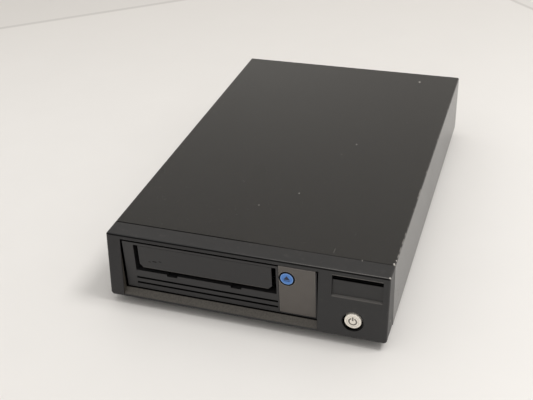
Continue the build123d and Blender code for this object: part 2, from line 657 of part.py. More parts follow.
def top_cover():
    """The folded cover: a top and two sides, with three tabs down over the rear panel."""
    length = (SEAM_Y + SEAM, BACK)
    cover = folded((LEFT, RIGHT), length, (BOTTOM, TOP), SHEET_BEND)
    inside = (LEFT + SHEET, RIGHT - SHEET)
    cover -= folded(inside, past(length), (BOTTOM - CUT, TOP - SHEET), SHEET_BEND - SHEET)
    for x in COVER_TABS:
        cover += block(around(x, COVER_TAB_WIDTH), COVER_TAB_Y, (TOP - COVER_TAB_DROP, TOP - SHEET / 2))
        cover -= bar_y(x, past(COVER_TAB_Y), COVER_SCREW_Z, SCREW_HOLE)
    return cover


def base_tray():
    """The tray: a floor with upturned sides, cooling slots and holes for the feet."""
    tray = block(TRAY_X, TRAY_Y, (BOTTOM, BOTTOM + TRAY_FLANGE))
    tray -= block(inset(TRAY_X, SHEET), past(TRAY_Y), (FLOOR, TOP))
    through = past((BOTTOM, FLOOR))
    start = DRIVE_BACK + TRAY_VENT_GAP
    xs = row(LEFT + TRAY_VENT_INSET, RIGHT - TRAY_VENT_INSET, TRAY_VENT_PITCH)
    tray -= vents_z(xs, (start, start + TRAY_VENT_LENGTH), through, TRAY_VENT_WIDTH)
    for x, y in FOOT_AT:
        tray -= post(x, y, through, SCREW_HOLE)
    return tray


FOOT_SEAT = FOOT_HEIGHT - FOOT_WEB


def rubber_foot(x, y):
    """A turned rubber foot with a sunk seat for its screw's head."""
    foot = Cone(FOOT_RADIUS - FOOT_TAPER, FOOT_RADIUS, FOOT_HEIGHT)
    foot = fillet(foot.edges().group_by(Axis.Z)[0], FOOT_ROUND)
    foot = Pos(x, y, FOOT_HEIGHT / 2) * foot
    foot -= post(x, y, past((0.0, FOOT_HEIGHT)), SCREW_HOLE)
    return foot - post(x, y, (-CUT, FOOT_SEAT), SCREW_HEAD + FOOT_SEAT_GAP)


def foot_screw(x, y):
    """A pan-head screw up through a foot into the tray."""
    head = post(x, y, (FOOT_SEAT - SCREW_HEAD_HIGH, FOOT_SEAT), SCREW_HEAD)
    return head + post(x, y, (FOOT_SEAT, FLOOR + FOOT_SCREW_END), SCREW_RADIUS)


# ---- The moulded front bezel ----
def bezel_shell():
    """The outer form: a leaning face with a top, sides and a bottom lip."""
    outline = Rectangle(CASE_WIDTH, CASE_HEIGHT)
    outline = fillet(outline.vertices().group_by(Axis.Y)[0], BEZEL_CORNER)
    outline = fillet(outline.vertices().group_by(Axis.Y)[-1], SHEET_BEND)
    at = Plane((0, FRONT, (BOTTOM + TOP) / 2), x_dir=(1, 0, 0), z_dir=(0, -1, 0))
    shell = extrude(at * outline, SEAM_Y - FRONT, dir=(0, 1, 0))
    ahead = leaning(0, BOTTOM, TOP + CUT) + [(FRONT - CUT, TOP + CUT), (FRONT - CUT, BOTTOM)]
    shell -= profile_x(ahead, past((LEFT, RIGHT)))
    upper = shell.edges().filter_by(Axis.X).group_by(Axis.Z)[-1]
    shell = fillet(upper.sort_by(Axis.Y)[0], BEZEL_ROUND)
    inner = leaning(MOULD_WALL, BOTTOM + MOULD_WALL, TOP - MOULD_WALL)
    inner += [(SEAM_Y + CUT, TOP - MOULD_WALL), (SEAM_Y + CUT, BOTTOM + MOULD_WALL)]
    return shell - profile_x(inner, inset((LEFT, RIGHT), MOULD_WALL))


def bezel_tongue():
    """The rebate behind the lip that nests inside the cover."""
    outer = INSIDE + NEST
    inner = outer + TONGUE_WALL
    length = (SEAM_Y - TONGUE_ROOT, SEAM_Y + TONGUE)
    tongue = block(inset((LEFT, RIGHT), outer), length, (TOP - outer - TONGUE_DROP, TOP - outer))
    return tongue - block(inset((LEFT, RIGHT), inner), past(length), (BOTTOM, TOP - inner))


def drive_opening():
    """The cutter for the drive's opening, whose sill slopes to the front edge."""
    front = FRONT - CUT
    back = BODY_FRONT + JAMB_DEPTH
    lip = BOTTOM + SILL_FRONT
    side = [(front, OPEN_Z[1]), (back, OPEN_Z[1]), (back, OPEN_Z[0])]
    side += [(DRIVE_FACE - SILL_LAND, OPEN_Z[0]), (face_y(lip), lip), (front, lip)]
    return profile_x(side, OPEN_X)


def drive_jambs():
    """The walls round the opening and the solid sill under it."""
    low = BOTTOM + MOULD_WALL / 2
    high = TOP - MOULD_WALL / 2
    back = face_y(high) + JAMB_DEPTH
    side = leaning(0, low, high) + [(back, high), (back, low)]
    return profile_x(side, inset(OPEN_X, -MOULD_WALL))


def badge_backing():
    """The thicker wall behind the badge's place and the pocket behind its finger slot."""
    low = BADGE_Z[0] - THIN_WALL
    high = BADGE_Z[1] + THIN_WALL
    deep = BADGE_DEPTH + THIN_WALL
    side = leaning(0, low, high) + list(reversed(leaning(deep, low, high)))
    wide = inset(BADGE_X, -THIN_WALL)
    behind = (face_y(high) + THIN_WALL, face_y(BADGE_Z[1]) + BADGE_SLOT_DEPTH + THIN_WALL)
    return profile_x(side, wide) + block(wide, behind, (BADGE_Z[1] - BADGE_SLOT - THIN_WALL, high))


def badge_place():
    """The cutter for the badge's place: a leaning floor, a ledge and a finger slot."""
    z0, z1 = BADGE_Z
    floor = z0 + BADGE_LEDGE
    side = [(face_y(z0) - CUT, z0), (face_y(z0), z0)]
    side += leaning(BADGE_DEPTH, floor, z1) + [(face_y(z0) - CUT, z1)]
    slot = block(BADGE_X, (face_y(z1) - CUT, face_y(z1) + BADGE_SLOT_DEPTH), (z1 - BADGE_SLOT, z1))
    return profile_x(side, BADGE_X) + slot


def button_guide():
    """The collar and the guide tube for the power button."""
    return bar_y(POWER_AT[0], (COLLAR_Y, SLEEVE_END), POWER_AT[1], BORE_RADIUS + BUTTON_SLEEVE_WALL)


def button_bore():
    """The cutter for the power button's sunk collar and bore."""
    x, z = POWER_AT
    collar = bar_y(x, (FRONT - CUT, COLLAR_Y), z, COLLAR_RADIUS)
    return collar + bar_y(x, past((COLLAR_Y, SLEEVE_END)), z, BORE_RADIUS)


def board_bosses():
    """Two screw bosses over the power button, which carry the switch's board."""
    end = SWITCH_BOARD_Y[0]
    bosses = []
    for x in BOSS_XS:
        boss = bar_y(x, (face_y(BOSS_Z) + MOULD_WALL / 2, end), BOSS_Z, BOSS_RADIUS)
        bosses.append(boss - bar_y(x, (end - BOSS_BORE, end + CUT), BOSS_Z, SCREW_RADIUS))
    return bosses


def opening_rim(edge):
    """Whether an edge is a front edge of the drive's opening, at its sides or top."""
    at = edge.center()
    front = abs(at.Y - face_y(at.Z)) < NEAR
    side = min(abs(at.X - x) for x in OPEN_X) < NEAR and at.Z > OPEN_Z[0]
    return front and (side or abs(at.Z - OPEN_Z[1]) < NEAR)


def front_bezel():
    """The moulded front, one piece with its lip, opening, badge place and button guide."""
    bezel = bezel_shell() + drive_jambs() + badge_backing() + button_guide() + bezel_tongue()
    bezel -= drive_opening()
    bezel = fillet(bezel.edges().filter_by(opening_rim), OPENING_ROUND)
    return bezel - badge_place() - button_bore() + board_bosses()


def badge_plate():
    """A blank plate on the floor of the badge's place."""
    low = BADGE_Z[0] + BADGE_LEDGE + BADGE_GAP
    high = BADGE_Z[1] - BADGE_SLOT - BADGE_GAP
    back = leaning(BADGE_DEPTH, low, high)
    front = leaning(BADGE_DEPTH - BADGE_PLATE, low, high)
    return profile_x(back + list(reversed(front)), inset(BADGE_X, BADGE_GAP))


# ---- The power button and its switch ----
def power_button():
    """A hollow cap with a stop flange behind its guide and a stem to the switch."""
    x, z = POWER_AT
    front = COLLAR_Y - BUTTON_TRAVEL - BUTTON_PROUD
    stop = (SLEEVE_END + STOP_GAP, SLEEVE_END + STOP_GAP + THIN_WALL)
    cap = fillet(front_rim(bar_y(x, (front, stop[1]), z, BUTTON_RADIUS)), BUTTON_ROUND)
    cap += bar_y(x, stop, z, BORE_RADIUS + BUTTON_FLANGE)
    hollow = (COLLAR_Y - BUTTON_TRAVEL + BUTTON_CAP, stop[1] + CUT)
    cap -= bar_y(x, hollow, z, BUTTON_RADIUS - BUTTON_WALL)
    return cap + bar_y(x, (front + BUTTON_CAP, SWITCH_Y + SWITCH_STEM), z, BUTTON_STEM)


def power_switch():
    """A push switch whose bore takes the button's stem."""
    x, z = POWER_AT
    body = block(around(x, SWITCH_SIZE), (SWITCH_Y, SWITCH_BOARD_Y[0]), around(z, SWITCH_SIZE))
    return body - bar_y(x, (SWITCH_Y - CUT, SWITCH_BOARD_Y[0] - SWITCH_BACK), z, BUTTON_STEM + NEST)


def power_spring():
    """The return spring's envelope, between the hollow cap and the switch."""
    x, z = POWER_AT
    length = inset((COLLAR_Y - BUTTON_TRAVEL + BUTTON_CAP, SWITCH_Y), STOP_GAP)
    bore = BUTTON_STEM + SPRING_GAP
    return bar_y(x, length, z, bore + SPRING_WIRE) - bar_y(x, past(length), z, bore)


def power_switch_board():
    """The little board across the two bosses."""
    x, z = POWER_AT
    wide = inset(BOSS_XS, -BOSS_RADIUS)
    board = block(wide, SWITCH_BOARD_Y, (z - SWITCH_BOARD_UNDER, BOSS_Z + BOSS_RADIUS))
    for hole in BOSS_XS:
        board -= bar_y(hole, past(SWITCH_BOARD_Y), BOSS_Z, SCREW_HOLE)
    return board


# ---- The tape drive's front ----
def rib_cutter():
    """The cutter in front of the ribs under the slot, each raked like a louvre."""
    ahead = DRIVE_FACE - CUT
    deep = DRIVE_FACE + RIB_GROOVE_DEPTH
    low = DRIVE_Z[0] - CUT
    points = [(ahead, low)]
    for top in reversed(RIB_TOPS):
        high = DRIVE_Z[0] + top - RIB_GROOVE
        points += [(DRIVE_FACE, low), (DRIVE_FACE + RIB_RAKE, high)]
        points += [(deep, high), (deep, high + RIB_GROOVE)]
        low = high + RIB_GROOVE
    points += [(DRIVE_FACE, low), (DRIVE_FACE + RIB_RAKE, SLOT_Z[0]), (ahead, SLOT_Z[0])]
    return profile_x(points, RIBS_X)


def bezel_hollows():
    """The cutters that core out the drive's bezel from behind, beside and under the slot."""
    wall = DRIVE_BEZEL_WALL
    depth = (DRIVE_FACE + DRIVE_BEZEL_FACE, BODY_FRONT + CUT)
    tall = inset(DRIVE_Z, wall)
    left = block((DRIVE_X[0] + wall, SLOT_X[0] - wall), depth, tall)
    right = block((SLOT_X[1] + wall, DRIVE_X[1] - wall), depth, tall)
    return [left, right, block(SLOT_X, depth, (tall[0], SLOT_Z[0] - wall))]


def drive_bezel():
    """The drive's moulded face: slot, ribs, hinge seats and the status panel's seat."""
    length = (DRIVE_FACE, BODY_FRONT)
    body = block(DRIVE_X, length, DRIVE_Z)
    body = fillet(front_rim(body), DRIVE_BEZEL_EDGE)
    body -= bezel_hollows()
    body -= rib_cutter()
    body -= block(SLOT_X, past(length), SLOT_Z)
    for centre in NOTCH_CENTRES:
        notch = around(SLOT_X[0] + centre, NOTCH_WIDTH)
        body -= block(notch, past(length), (SLOT_Z[0] - NOTCH_DEPTH, SLOT_Z[0] + CUT))
    pocket = DOOR_BARREL + HINGE_POCKET
    room = (HINGE_Y - pocket, BODY_FRONT + CUT)
    body -= block(inset(BARREL_X, -NEST), room, (SLOT_Z[1] - CUT, HINGE_Z + pocket))
    body -= bar_x(inset(BARREL_X, -HINGE_PIN_SEAT - NEST), HINGE_Y, HINGE_Z, HINGE_PIN_RADIUS)
    seat = (DRIVE_FACE - CUT, DRIVE_FACE + PANEL_THICK)
    body -= block(inset(PANEL_X, -PANEL_GAP), seat, (PANEL_Z[0] - PANEL_GAP, PANEL_Z[1] + CUT))
    x, z = EJECT_AT
    bore = EJECT_RADIUS + EJECT_GAP
    body += bar_y(x, (seat[1], BODY_FRONT - THIN_WALL), z, bore + THIN_WALL)
    for height in BOARD_POST_HEIGHTS:
        body += bar_y(sum(PANEL_X) / 2, (seat[1], FRONT_BOARD_Y), DRIVE_Z[0] + height, BOARD_POST)
    return body - bar_y(x, past(length), z, bore)


def status_panel():
    """The pale panel let into the bezel, with a round window for the eject button."""
    panel = block(PANEL_X, (DRIVE_FACE, DRIVE_FACE + PANEL_THICK), PANEL_Z)
    panel = fillet(front_rim(panel), PANEL_EDGE)
    through = past((DRIVE_FACE, DRIVE_FACE + PANEL_THICK))
    return panel - bar_y(EJECT_AT[0], through, EJECT_AT[1], EJECT_RADIUS + EJECT_WINDOW)


def cartridge_door():
    """The flap in the slot: a thin plate with a neck up to a barrel on the hinge pin."""
    front = DRIVE_FACE + DOOR_RECESS
    x0, x1 = BARREL_X
    z0, z1 = DOOR_Z
    cut = DOOR_CORNER
    face = [(x0 + cut, z0), (x1 - cut, z0), (x1, z0 + cut), (x1, z1), (x0, z1), (x0, z0 + cut)]
    plate = profile_y(face, (front, front + DOOR_THICK))
    plate = fillet(front_rim(plate), DOOR_EDGE)
    plate += block(BARREL_X, (HINGE_Y - DOOR_BARREL, HINGE_Y), (z1 - DOOR_THICK, HINGE_Z))
    plate += bar_x(BARREL_X, HINGE_Y, HINGE_Z, DOOR_BARREL)
    return plate - bar_x(past(BARREL_X), HINGE_Y, HINGE_Z, HINGE_PIN_RADIUS + HINGE_CLEAR)


def door_hinge_pin():
    """The steel rod through the door's barrel into the bezel at each end."""
    return bar_x(inset(BARREL_X, -HINGE_PIN_SEAT), HINGE_Y, HINGE_Z, HINGE_PIN_RADIUS)


def eject_button():
    """A round cap with a stop flange behind the bezel and a stem to its switch."""
    x, z = EJECT_AT
    stop = (BODY_FRONT - THIN_WALL + STOP_GAP, BODY_FRONT + STOP_GAP)
    cap = bar_y(x, (DRIVE_FACE - EJECT_PROUD, stop[1]), z, EJECT_RADIUS)
    cap = fillet(front_rim(cap), EJECT_ROUND)
    cap += bar_y(x, stop, z, EJECT_RADIUS + EJECT_GAP + EJECT_FLANGE)
    return cap + bar_y(x, (BODY_FRONT, FRONT_BOARD_Y - EJECT_TRAVEL - NEST), z, EJECT_STEM)


def front_board():
    """The board behind the status panel, which carries the eject switch."""
    wide = (SLOT_X[1], ROOM_X[1] - LOGIC_GAP)
    tall = (DRIVE_Z[0] + FRONT_BOARD_LOW, DRIVE_Z[1] - FRONT_BOARD_DROP)
    return block(wide, (FRONT_BOARD_Y, FRONT_BOARD_Y + BOARD), tall)


def eject_switch():
    """A tact switch in front of the board, its well against the button's stem."""
    x, z = EJECT_AT
    depth = (FRONT_BOARD_Y - TACT_DEPTH, FRONT_BOARD_Y)
    well = (depth[0] - CUT, depth[1] - STOP_GAP)
    return block(around(x, TACT_SIZE), depth, around(z, TACT_SIZE)) - bar_y(x, well, z, EJECT_STEM + NEST)


# ---- The tape drive's chassis ----
def guide_rail(side):
    """One of the loader's cast rails, with an upright groove for each pin."""
    thick = outward(side, SLOT_MID + side * RAIL_X, RAIL_WALL)
    rail = block(thick, inset(BAY_Y, RAIL_INSET), (FLOOR_TOP - CUT, PIN_Z + RAIL_OVER))
    half = CAM_PIN_RADIUS + CAM_PIN_CLEAR
    foot = PIN_Z - CARRIER_DROP
    for y in PIN_Y:
        rail -= block(past(thick), around(y, 2 * half), (foot, TOP))
        rail -= bar_x(past(thick), y, foot, half)
    return rail


def drive_chassis():
    """The cast tray: walls, floor, rails, bosses for the axles and posts for the lid."""
    low = DRIVE_Z[0] + BODY_LIFT
    body = block(BODY_X, BODY_Y, (low, LID_UNDER))
    rear = DRIVE_BACK - CAST_WALL
    body -= block(ROOM_X, (BODY_FRONT - CUT, rear), (FLOOR_TOP, TOP))
    body -= block(ROOM_X, (BODY_FRONT + CAST_WALL, rear), (low - CUT, FLOOR_TOP - CAST_WALL))
    for side in (-1, 1):
        body += guide_rail(side)
    for x, y in ROLLER_AT:
        body += post(x, y, (FLOOR_TOP - CUT, ROLLER_Z[0] - ROLLER_GAP), POST_RADIUS + POST_FOOT)
    for x, y in LID_POSTS:
        body += post(x, y, (FLOOR_TOP - CUT, LID_UNDER), LID_POST)
        body -= post(x, y, (LID_UNDER - SCREW_SHORT - CUT, TOP), SCREW_RADIUS + THREAD_CLEAR)
    for x, y in (HUB_AT, REEL_AT):
        body -= post(x, y, (low, TOP), SHAFT_RADIUS + NEST)
    for side, face in zip((-1, 1), BODY_X):
        for y in BRACKET_SCREW_Y:
            through = past(outward(-side, face, CAST_WALL))
            body -= bar_x(through, y, BRACKET_SCREW_Z, SCREW_RADIUS + THREAD_CLEAR)
    return body


def drive_lid():
    """The pressed steel lid over the cast tray, slotted over the take-up reel."""
    thick = (LID_UNDER, LID_TOP)
    lid = block(BODY_X, (BODY_FRONT + NEST, DRIVE_BACK), thick)
    end = DRIVE_BACK - LID_VENT_INSET
    xs = row(BODY_X[0] + LID_SIDE_MARGIN, BODY_X[1] - LID_SIDE_MARGIN, LID_VENT_PITCH)
    lid -= vents_z(xs, (end - LID_VENT_LENGTH, end), past(thick), LID_VENT_WIDTH)
    for x, y in LID_POSTS:
        lid -= post(x, y, past(thick), SCREW_HOLE)
    return lid


def logic_board():
    """The circuit board in the space under the cast floor."""
    low = DRIVE_Z[0] + 2 * BODY_LIFT
    long = (BODY_FRONT + CAST_WALL + LOGIC_GAP, DRIVE_BACK - CAST_WALL - LOGIC_GAP)
    return block(inset(ROOM_X, LOGIC_GAP), long, (low, low + BOARD))


def rear_connector():
    """The drive's data and power socket block, on the chassis's rear wall."""
    wide, deep, tall = CONNECTOR_SIZE
    low = DRIVE_Z[0] + CONNECTOR_LIFT
    return block(around(SLOT_MID, wide), (DRIVE_BACK, DRIVE_BACK + deep), (low, low + tall))


# ---- The loader ----
def cartridge_carrier():
    """The folded carrier: a windowed top, two sides, turned-in lips and four cam pins."""
    sheet = CARRIER_SHEET
    inner_z = (BAY_Z0, BAY_Z0 + CARTRIDGE_HEIGHT + 2 * CARTRIDGE_PLAY)
    across = around(SLOT_MID, 2 * CARRIER_HALF)
    body = block(across, BAY_Y, inset(inner_z, -sheet))
    body -= block(inset(across, sheet), past(BAY_Y), inner_z)
    body -= block(inset(across, CARRIER_LIP), past(BAY_Y), (BAY_Z0 - sheet - CUT, BAY_Z0 + CUT))
    top = (inner_z[1] - CUT, inner_z[1] + sheet + CUT)
    window = block(inset(across, CARRIER_FRAME_X), inset(BAY_Y, CARRIER_FRAME_Y), top)
    body -= fillet(window.edges().filter_by(Axis.Z), CARRIER_WINDOW_ROUND)
    side_wall = (across[1] - sheet - NEST, across[1] + CUT)
    gap_y = (BAY_Y[1] - TAPE_DOOR_LENGTH, BAY_Y[1] + CUT)
    gap_z = (BAY_Z0 + TAPE_DOOR_LIFT, PIN_Z - 2 * CAM_PIN_RADIUS - 2 * CAM_PIN_COLLAR)
    body -= block(side_wall, gap_y, gap_z)
    for side in (-1, 1):
        face = SLOT_MID + side * CARRIER_HALF
        reach = RAIL_X + RAIL_WALL - CAM_GAP - CARRIER_HALF
        for y in PIN_Y:
            body += bar_x(outward(side, face, reach), y, PIN_Z, CAM_PIN_RADIUS)
            body += bar_x(outward(-side, face, sheet), y, PIN_Z, CAM_PIN_RADIUS + CAM_PIN_COLLAR)
    return body


def cam_slot(y):
    """The cutter for one slanted slot, from a pin's place at rest down to its lowered place."""
    width = 2 * (CAM_PIN_RADIUS + CAM_PIN_CLEAR)
    fall = math.hypot(CAM_TRAVEL, CARRIER_DROP)
    tilt = math.degrees(math.atan2(CARRIER_DROP, CAM_TRAVEL))
    middle = Pos(y - CAM_TRAVEL / 2, PIN_Z - CARRIER_DROP / 2)
    outline = Plane.YZ.offset(LEFT) * middle * Rot(0, 0, tilt) * SlotOverall(fall + width, width)
    return extrude(outline, CASE_WIDTH, dir=(1, 0, 0))


def loader_plate(side):
    """One cam plate: slanted slots for the pins, and a window to lighten it."""
    thick = outward(side, SLOT_MID + side * CAM_X, CAM_PLATE)
    plate = block(thick, CAM_Y, CAM_Z)
    low = CAM_Z[0] + CAM_WINDOW_LOW
    window = block(past(thick), inset(CAM_Y, CAM_WINDOW_INSET), (low, low + CAM_WINDOW_HEIGHT))
    plate -= fillet(window.edges().filter_by(Axis.X), CAM_WINDOW_ROUND)
    for y in PIN_Y:
        plate -= cam_slot(y)
    return plate


def loader_bridge():
    """The strap under the cartridge that joins the two cam plates."""
    start = CAM_Y[0] + BRIDGE_INSET
    thick = (CAM_Z[0], CAM_Z[0] + BRIDGE_THICK)
    return block(around(SLOT_MID, 2 * CAM_X), (start, start + BRIDGE_WIDTH), thick)


# ---- The reels ----
def hub_motor(x, y):
    """A flat motor's stator: a base flange and a ring of coils round the bearing."""
    high = FLOOR_TOP + MOTOR_HEIGHT
    outer = MOTOR_RADIUS - MOTOR_RIM
    ring = post(x, y, (FLOOR_TOP, high), outer)
    ring -= post(x, y, (FLOOR_TOP + MOTOR_FLANGE, TOP), outer - MOTOR_COIL_LENGTH)
    coils = (outer - MOTOR_COIL_LENGTH, outer)
    gap = block(past(coils), around(0, MOTOR_COIL_GAP), (MOTOR_FLANGE, TOP))
    for i in range(MOTOR_COILS):
        ring -= Pos(x, y, FLOOR_TOP) * Rot(0, 0, i * 360.0 / MOTOR_COILS) * gap
    ring += post(x, y, (FLOOR_TOP, FLOOR_TOP + MOTOR_FLANGE), MOTOR_RADIUS)
    ring += post(x, y, (FLOOR_TOP, high), MOTOR_HUB)
    return ring - post(x, y, past((FLOOR_TOP, high)), SHAFT_RADIUS + SPIN_CLEAR)


def supply_hub():
    """The rotor with the toothed clutch face that grips the cartridge's reel."""
    x, y = HUB_AT
    face = BAY_Z0 - CLUTCH_DROP
    hub = post(x, y, (ROTOR_Z, ROTOR_Z + ROTOR_THICK), MOTOR_RADIUS - ROTOR_INSET)
    hub += post(x, y, (ROTOR_Z, face), CLUTCH_RADIUS)
    long, wide, tall = CLUTCH_TOOTH
    tooth = block((CLUTCH_RADIUS - long, CLUTCH_RADIUS), around(0, wide), (face - tall / 2, face + tall / 2))
    for i in range(CLUTCH_TEETH):
        hub += Pos(x, y, 0) * Rot(0, 0, i * 360.0 / CLUTCH_TEETH) * tooth
    hub -= post(x, y, (ROTOR_Z + ROTOR_THICK, TOP), CLUTCH_HOLLOW)
    return hub + post(x, y, (FLOOR_TOP + FLOOR_GAP, ROTOR_Z + ROTOR_THICK), SHAFT_RADIUS)


def takeup_reel():
    """The take-up reel: a hollow hub between two flanges, the upper one windowed."""
    x, y = REEL_AT
    inner = inset(TAPE_Z, -TAPE_SIDE_CLEAR)
    outer = inset(inner, -REEL_FLANGE)
    reel = post(x, y, (outer[0], inner[0]), REEL_RADIUS) + post(x, y, (inner[1], outer[1]), REEL_RADIUS)
    reel += post(x, y, outer, REEL_HUB)
    middle = (REEL_HUB + REEL_RADIUS) / 2
    wide = REEL_RADIUS - REEL_HUB - 2 * REEL_RIM
    turn = 360.0 / REEL_WINDOWS - math.degrees((wide + REEL_SPOKE) / middle)
    window = extrude(SlotArc(CenterArc((0, 0), middle, 0, turn), wide), REEL_FLANGE + 2 * CUT)
    for i in range(REEL_WINDOWS):
        reel -= Pos(x, y, inner[1] - CUT) * Rot(0, 0, i * 360.0 / REEL_WINDOWS) * window
    reel -= post(x, y, (outer[0] + REEL_HUB_FLOOR, TOP), REEL_HUB - REEL_HUB_WALL)
    return reel + post(x, y, (FLOOR_TOP + FLOOR_GAP, outer[0] + REEL_HUB_FLOOR), SHAFT_RADIUS)


# ---- The tape path ----
def guide_roller(x, y):
    """A flanged roller on its fixed axle."""
    z0, z1 = ROLLER_Z
    roller = post(x, y, ROLLER_Z, ROLLER_RADIUS)
    for edge in ((z0, z0 + ROLLER_FLANGE), (z1 - ROLLER_FLANGE, z1)):
        roller += post(x, y, edge, ROLLER_RADIUS + ROLLER_RIM)
    return roller - post(x, y, past(ROLLER_Z), POST_RADIUS + SPIN_CLEAR)


def roller_axle(x, y):
    """A headed axle that stands on its cast boss and keeps its roller on."""
    low, high = inset(ROLLER_Z, -ROLLER_GAP)
    return post(x, y, (low, high), POST_RADIUS) + post(x, y, (high, high + SHEET), POST_RADIUS + POST_HEAD)


def head_base():
    """The foot with the two upright rods that guide the head's carriage."""
    base = block(HEAD_X, around(HEAD_Y, HEAD_LENGTH), (FLOOR_TOP, FLOOR_TOP + HEAD_FOOT))
    top = HEAD_Z[1] + HEAD_TRAVEL + 2 * HEAD_ROD
    for y in around(HEAD_Y, 2 * HEAD_ROD_SPREAD):
        base += post(sum(HEAD_X) / 2, y, (FLOOR_TOP + CUT, top), HEAD_ROD)
    return base


def head_carriage():
    """The carriage that lifts the head from track to track."""
    body = block(HEAD_X, around(HEAD_Y, HEAD_LENGTH), HEAD_Z)
    body = chamfer(body.edges().filter_by(Axis.Z), HEAD_EDGE)
    deep, wide, rim = HEAD_POCKET
    body -= block((HEAD_X[1] - deep, HEAD_X[1] + CUT), around(HEAD_Y, wide), inset(HEAD_Z, rim))
    for y in around(HEAD_Y, 2 * HEAD_ROD_SPREAD):
        body -= post(sum(HEAD_X) / 2, y, past(HEAD_Z), HEAD_ROD + SPIN_CLEAR)
    return body


def tape_head():
    """The ceramic head: two rounded bars with a groove between, on a common base."""
    tall = inset(TAPE_Z, -HEAD_BAR_OVER)
    bars = around(HEAD_Y, 2 * HEAD_BAR_SPREAD)
    head = block((BAR_X, HEAD_X[0]), (bars[0] - HEAD_BAR, bars[1] + HEAD_BAR), tall)
    for y in bars:
        head += post(BAR_X, y, tall, HEAD_BAR)
    return head - block((HEAD_X[0], HEAD_X[0] + HEAD_BAR), past(around(HEAD_Y, HEAD_LENGTH)), past(tall))


# ---- Brackets and screws that hold the drive in the case ----
def bracket_face(side):
    """The inner face of the bracket on side -1 or 1."""
    return BODY_X[0] - NEST if side < 0 else BODY_X[1] + NEST


def drive_bracket(side):
    """An angle bracket, its foot under the drive and its leaf up the drive's side."""
    face = bracket_face(side)
    leaf = outward(side, face, SHEET)
    bracket = block(leaf, BRACKET_Y, (FLOOR, FLOOR + BRACKET_HEIGHT))
    bracket += block(outward(-side, face + side * SHEET, BRACKET_FOOT), BRACKET_Y, (FLOOR, FLOOR + SHEET))
    window = block(past(leaf), inset(BRACKET_Y, BRACKET_WINDOW_INSET), (FLOOR + BRACKET_WINDOW_LOW, TOP))
    lower = window.edges().filter_by(Axis.X).group_by(Axis.Z)[0]
    bracket -= fillet(lower, BRACKET_WINDOW_ROUND)
    for y in BRACKET_SCREW_Y:
        bracket -= bar_x(past(leaf), y, BRACKET_SCREW_Z, SCREW_HOLE)
    return bracket


def drive_screw(side, y):
    """A screw through a bracket into the drive's cast wall."""
    face = bracket_face(side) + side * SHEET
    head = bar_x(outward(side, face, SCREW_HEAD_HIGH), y, BRACKET_SCREW_Z, SCREW_HEAD)
    return head + bar_x(outward(-side, face, NEST + SHEET + CAST_WALL), y, BRACKET_SCREW_Z, SCREW_RADIUS)


def lid_screw(x, y):
    """A screw down through the lid into its cast post."""
    head = post(x, y, (LID_TOP, LID_TOP + SCREW_HEAD_HIGH), SCREW_HEAD)
    return head + post(x, y, (LID_TOP - SCREW_SHORT, LID_TOP), SCREW_RADIUS)


# ---- The rear panel and what is fixed to it ----
def fan_grille():
    """Cutters for the rings of slots, crossed by four spokes."""
    through = past((PANEL_IN, PANEL_Y))
    middle = Pos(FAN_X, sum(through) / 2, FAN_Z)
    spoke = Box(2 * FAN_SIZE, SHEET + 4 * CUT, GRILLE_SPOKE)
    rings = []
    for i in range(GRILLE_RINGS):
        outer = FAN_BORE - i * (GRILLE_SLOT + GRILLE_BAR)
        ring = bar_y(FAN_X, through, FAN_Z, outer) - bar_y(FAN_X, through, FAN_Z, outer - GRILLE_SLOT)
        for turn in (-GRILLE_TURN, GRILLE_TURN):
            ring -= middle * Rot(0, turn, 0) * spoke
        rings.append(ring)
    return rings


def rear_panel():
    """The sheet at the back: fan grille, inlet and port openings, slots and flanges."""
    thick = (PANEL_IN, PANEL_Y)
    through = past(thick)
    panel = block(TRAY_X, thick, REAR_Z)
    flange = (PANEL_IN - REAR_FLANGE, PANEL_IN + SHEET / 2)
    panel += block(inset(TRAY_X, REAR_FLANGE_INSET), flange, (REAR_Z[1] - SHEET, REAR_Z[1]))
    for side, edge in zip((-1, 1), TRAY_X):
        leaf = outward(-side, edge - side * INSIDE, SHEET)
        panel += block(leaf, flange, inset(REAR_Z, REAR_FLANGE_INSET))
    inlet = [size + 2 * INLET_GAP for size in INLET_SIZE]
    panel -= block(around(INLET_X, inlet[0]), through, around(FAN_Z, inlet[1]))
    for x in INLET_HOLES:
        panel -= bar_y(x, through, FAN_Z, SCREW_HOLE)
    port = [size + 2 * PORT_GAP for size in PORT_SHELL]
    for x in PORT_XS:
        panel -= block(around(x, port[0]), through, around(FAN_Z, port[1]))
    for x, z in FAN_HOLES:
        panel -= bar_y(x, through, z, SCREW_HOLE)
    for x in COVER_TABS:
        panel -= bar_y(x, through, COVER_SCREW_Z, SCREW_HOLE)
    panel -= fan_grille()
    slot = SlotOverall(REAR_VENT_LENGTH, REAR_VENT_WIDTH, rotation=90)
    vent = Rot(90, 0, 0) * extrude(slot, SHEET + CUT, both=True)
    for x in row(LEFT + REAR_VENT_LEFT, PORT_XS[0] - REAR_VENT_RIGHT, REAR_VENT_PITCH):
        panel -= Pos(x, PANEL_Y, FAN_Z) * vent
    return panel


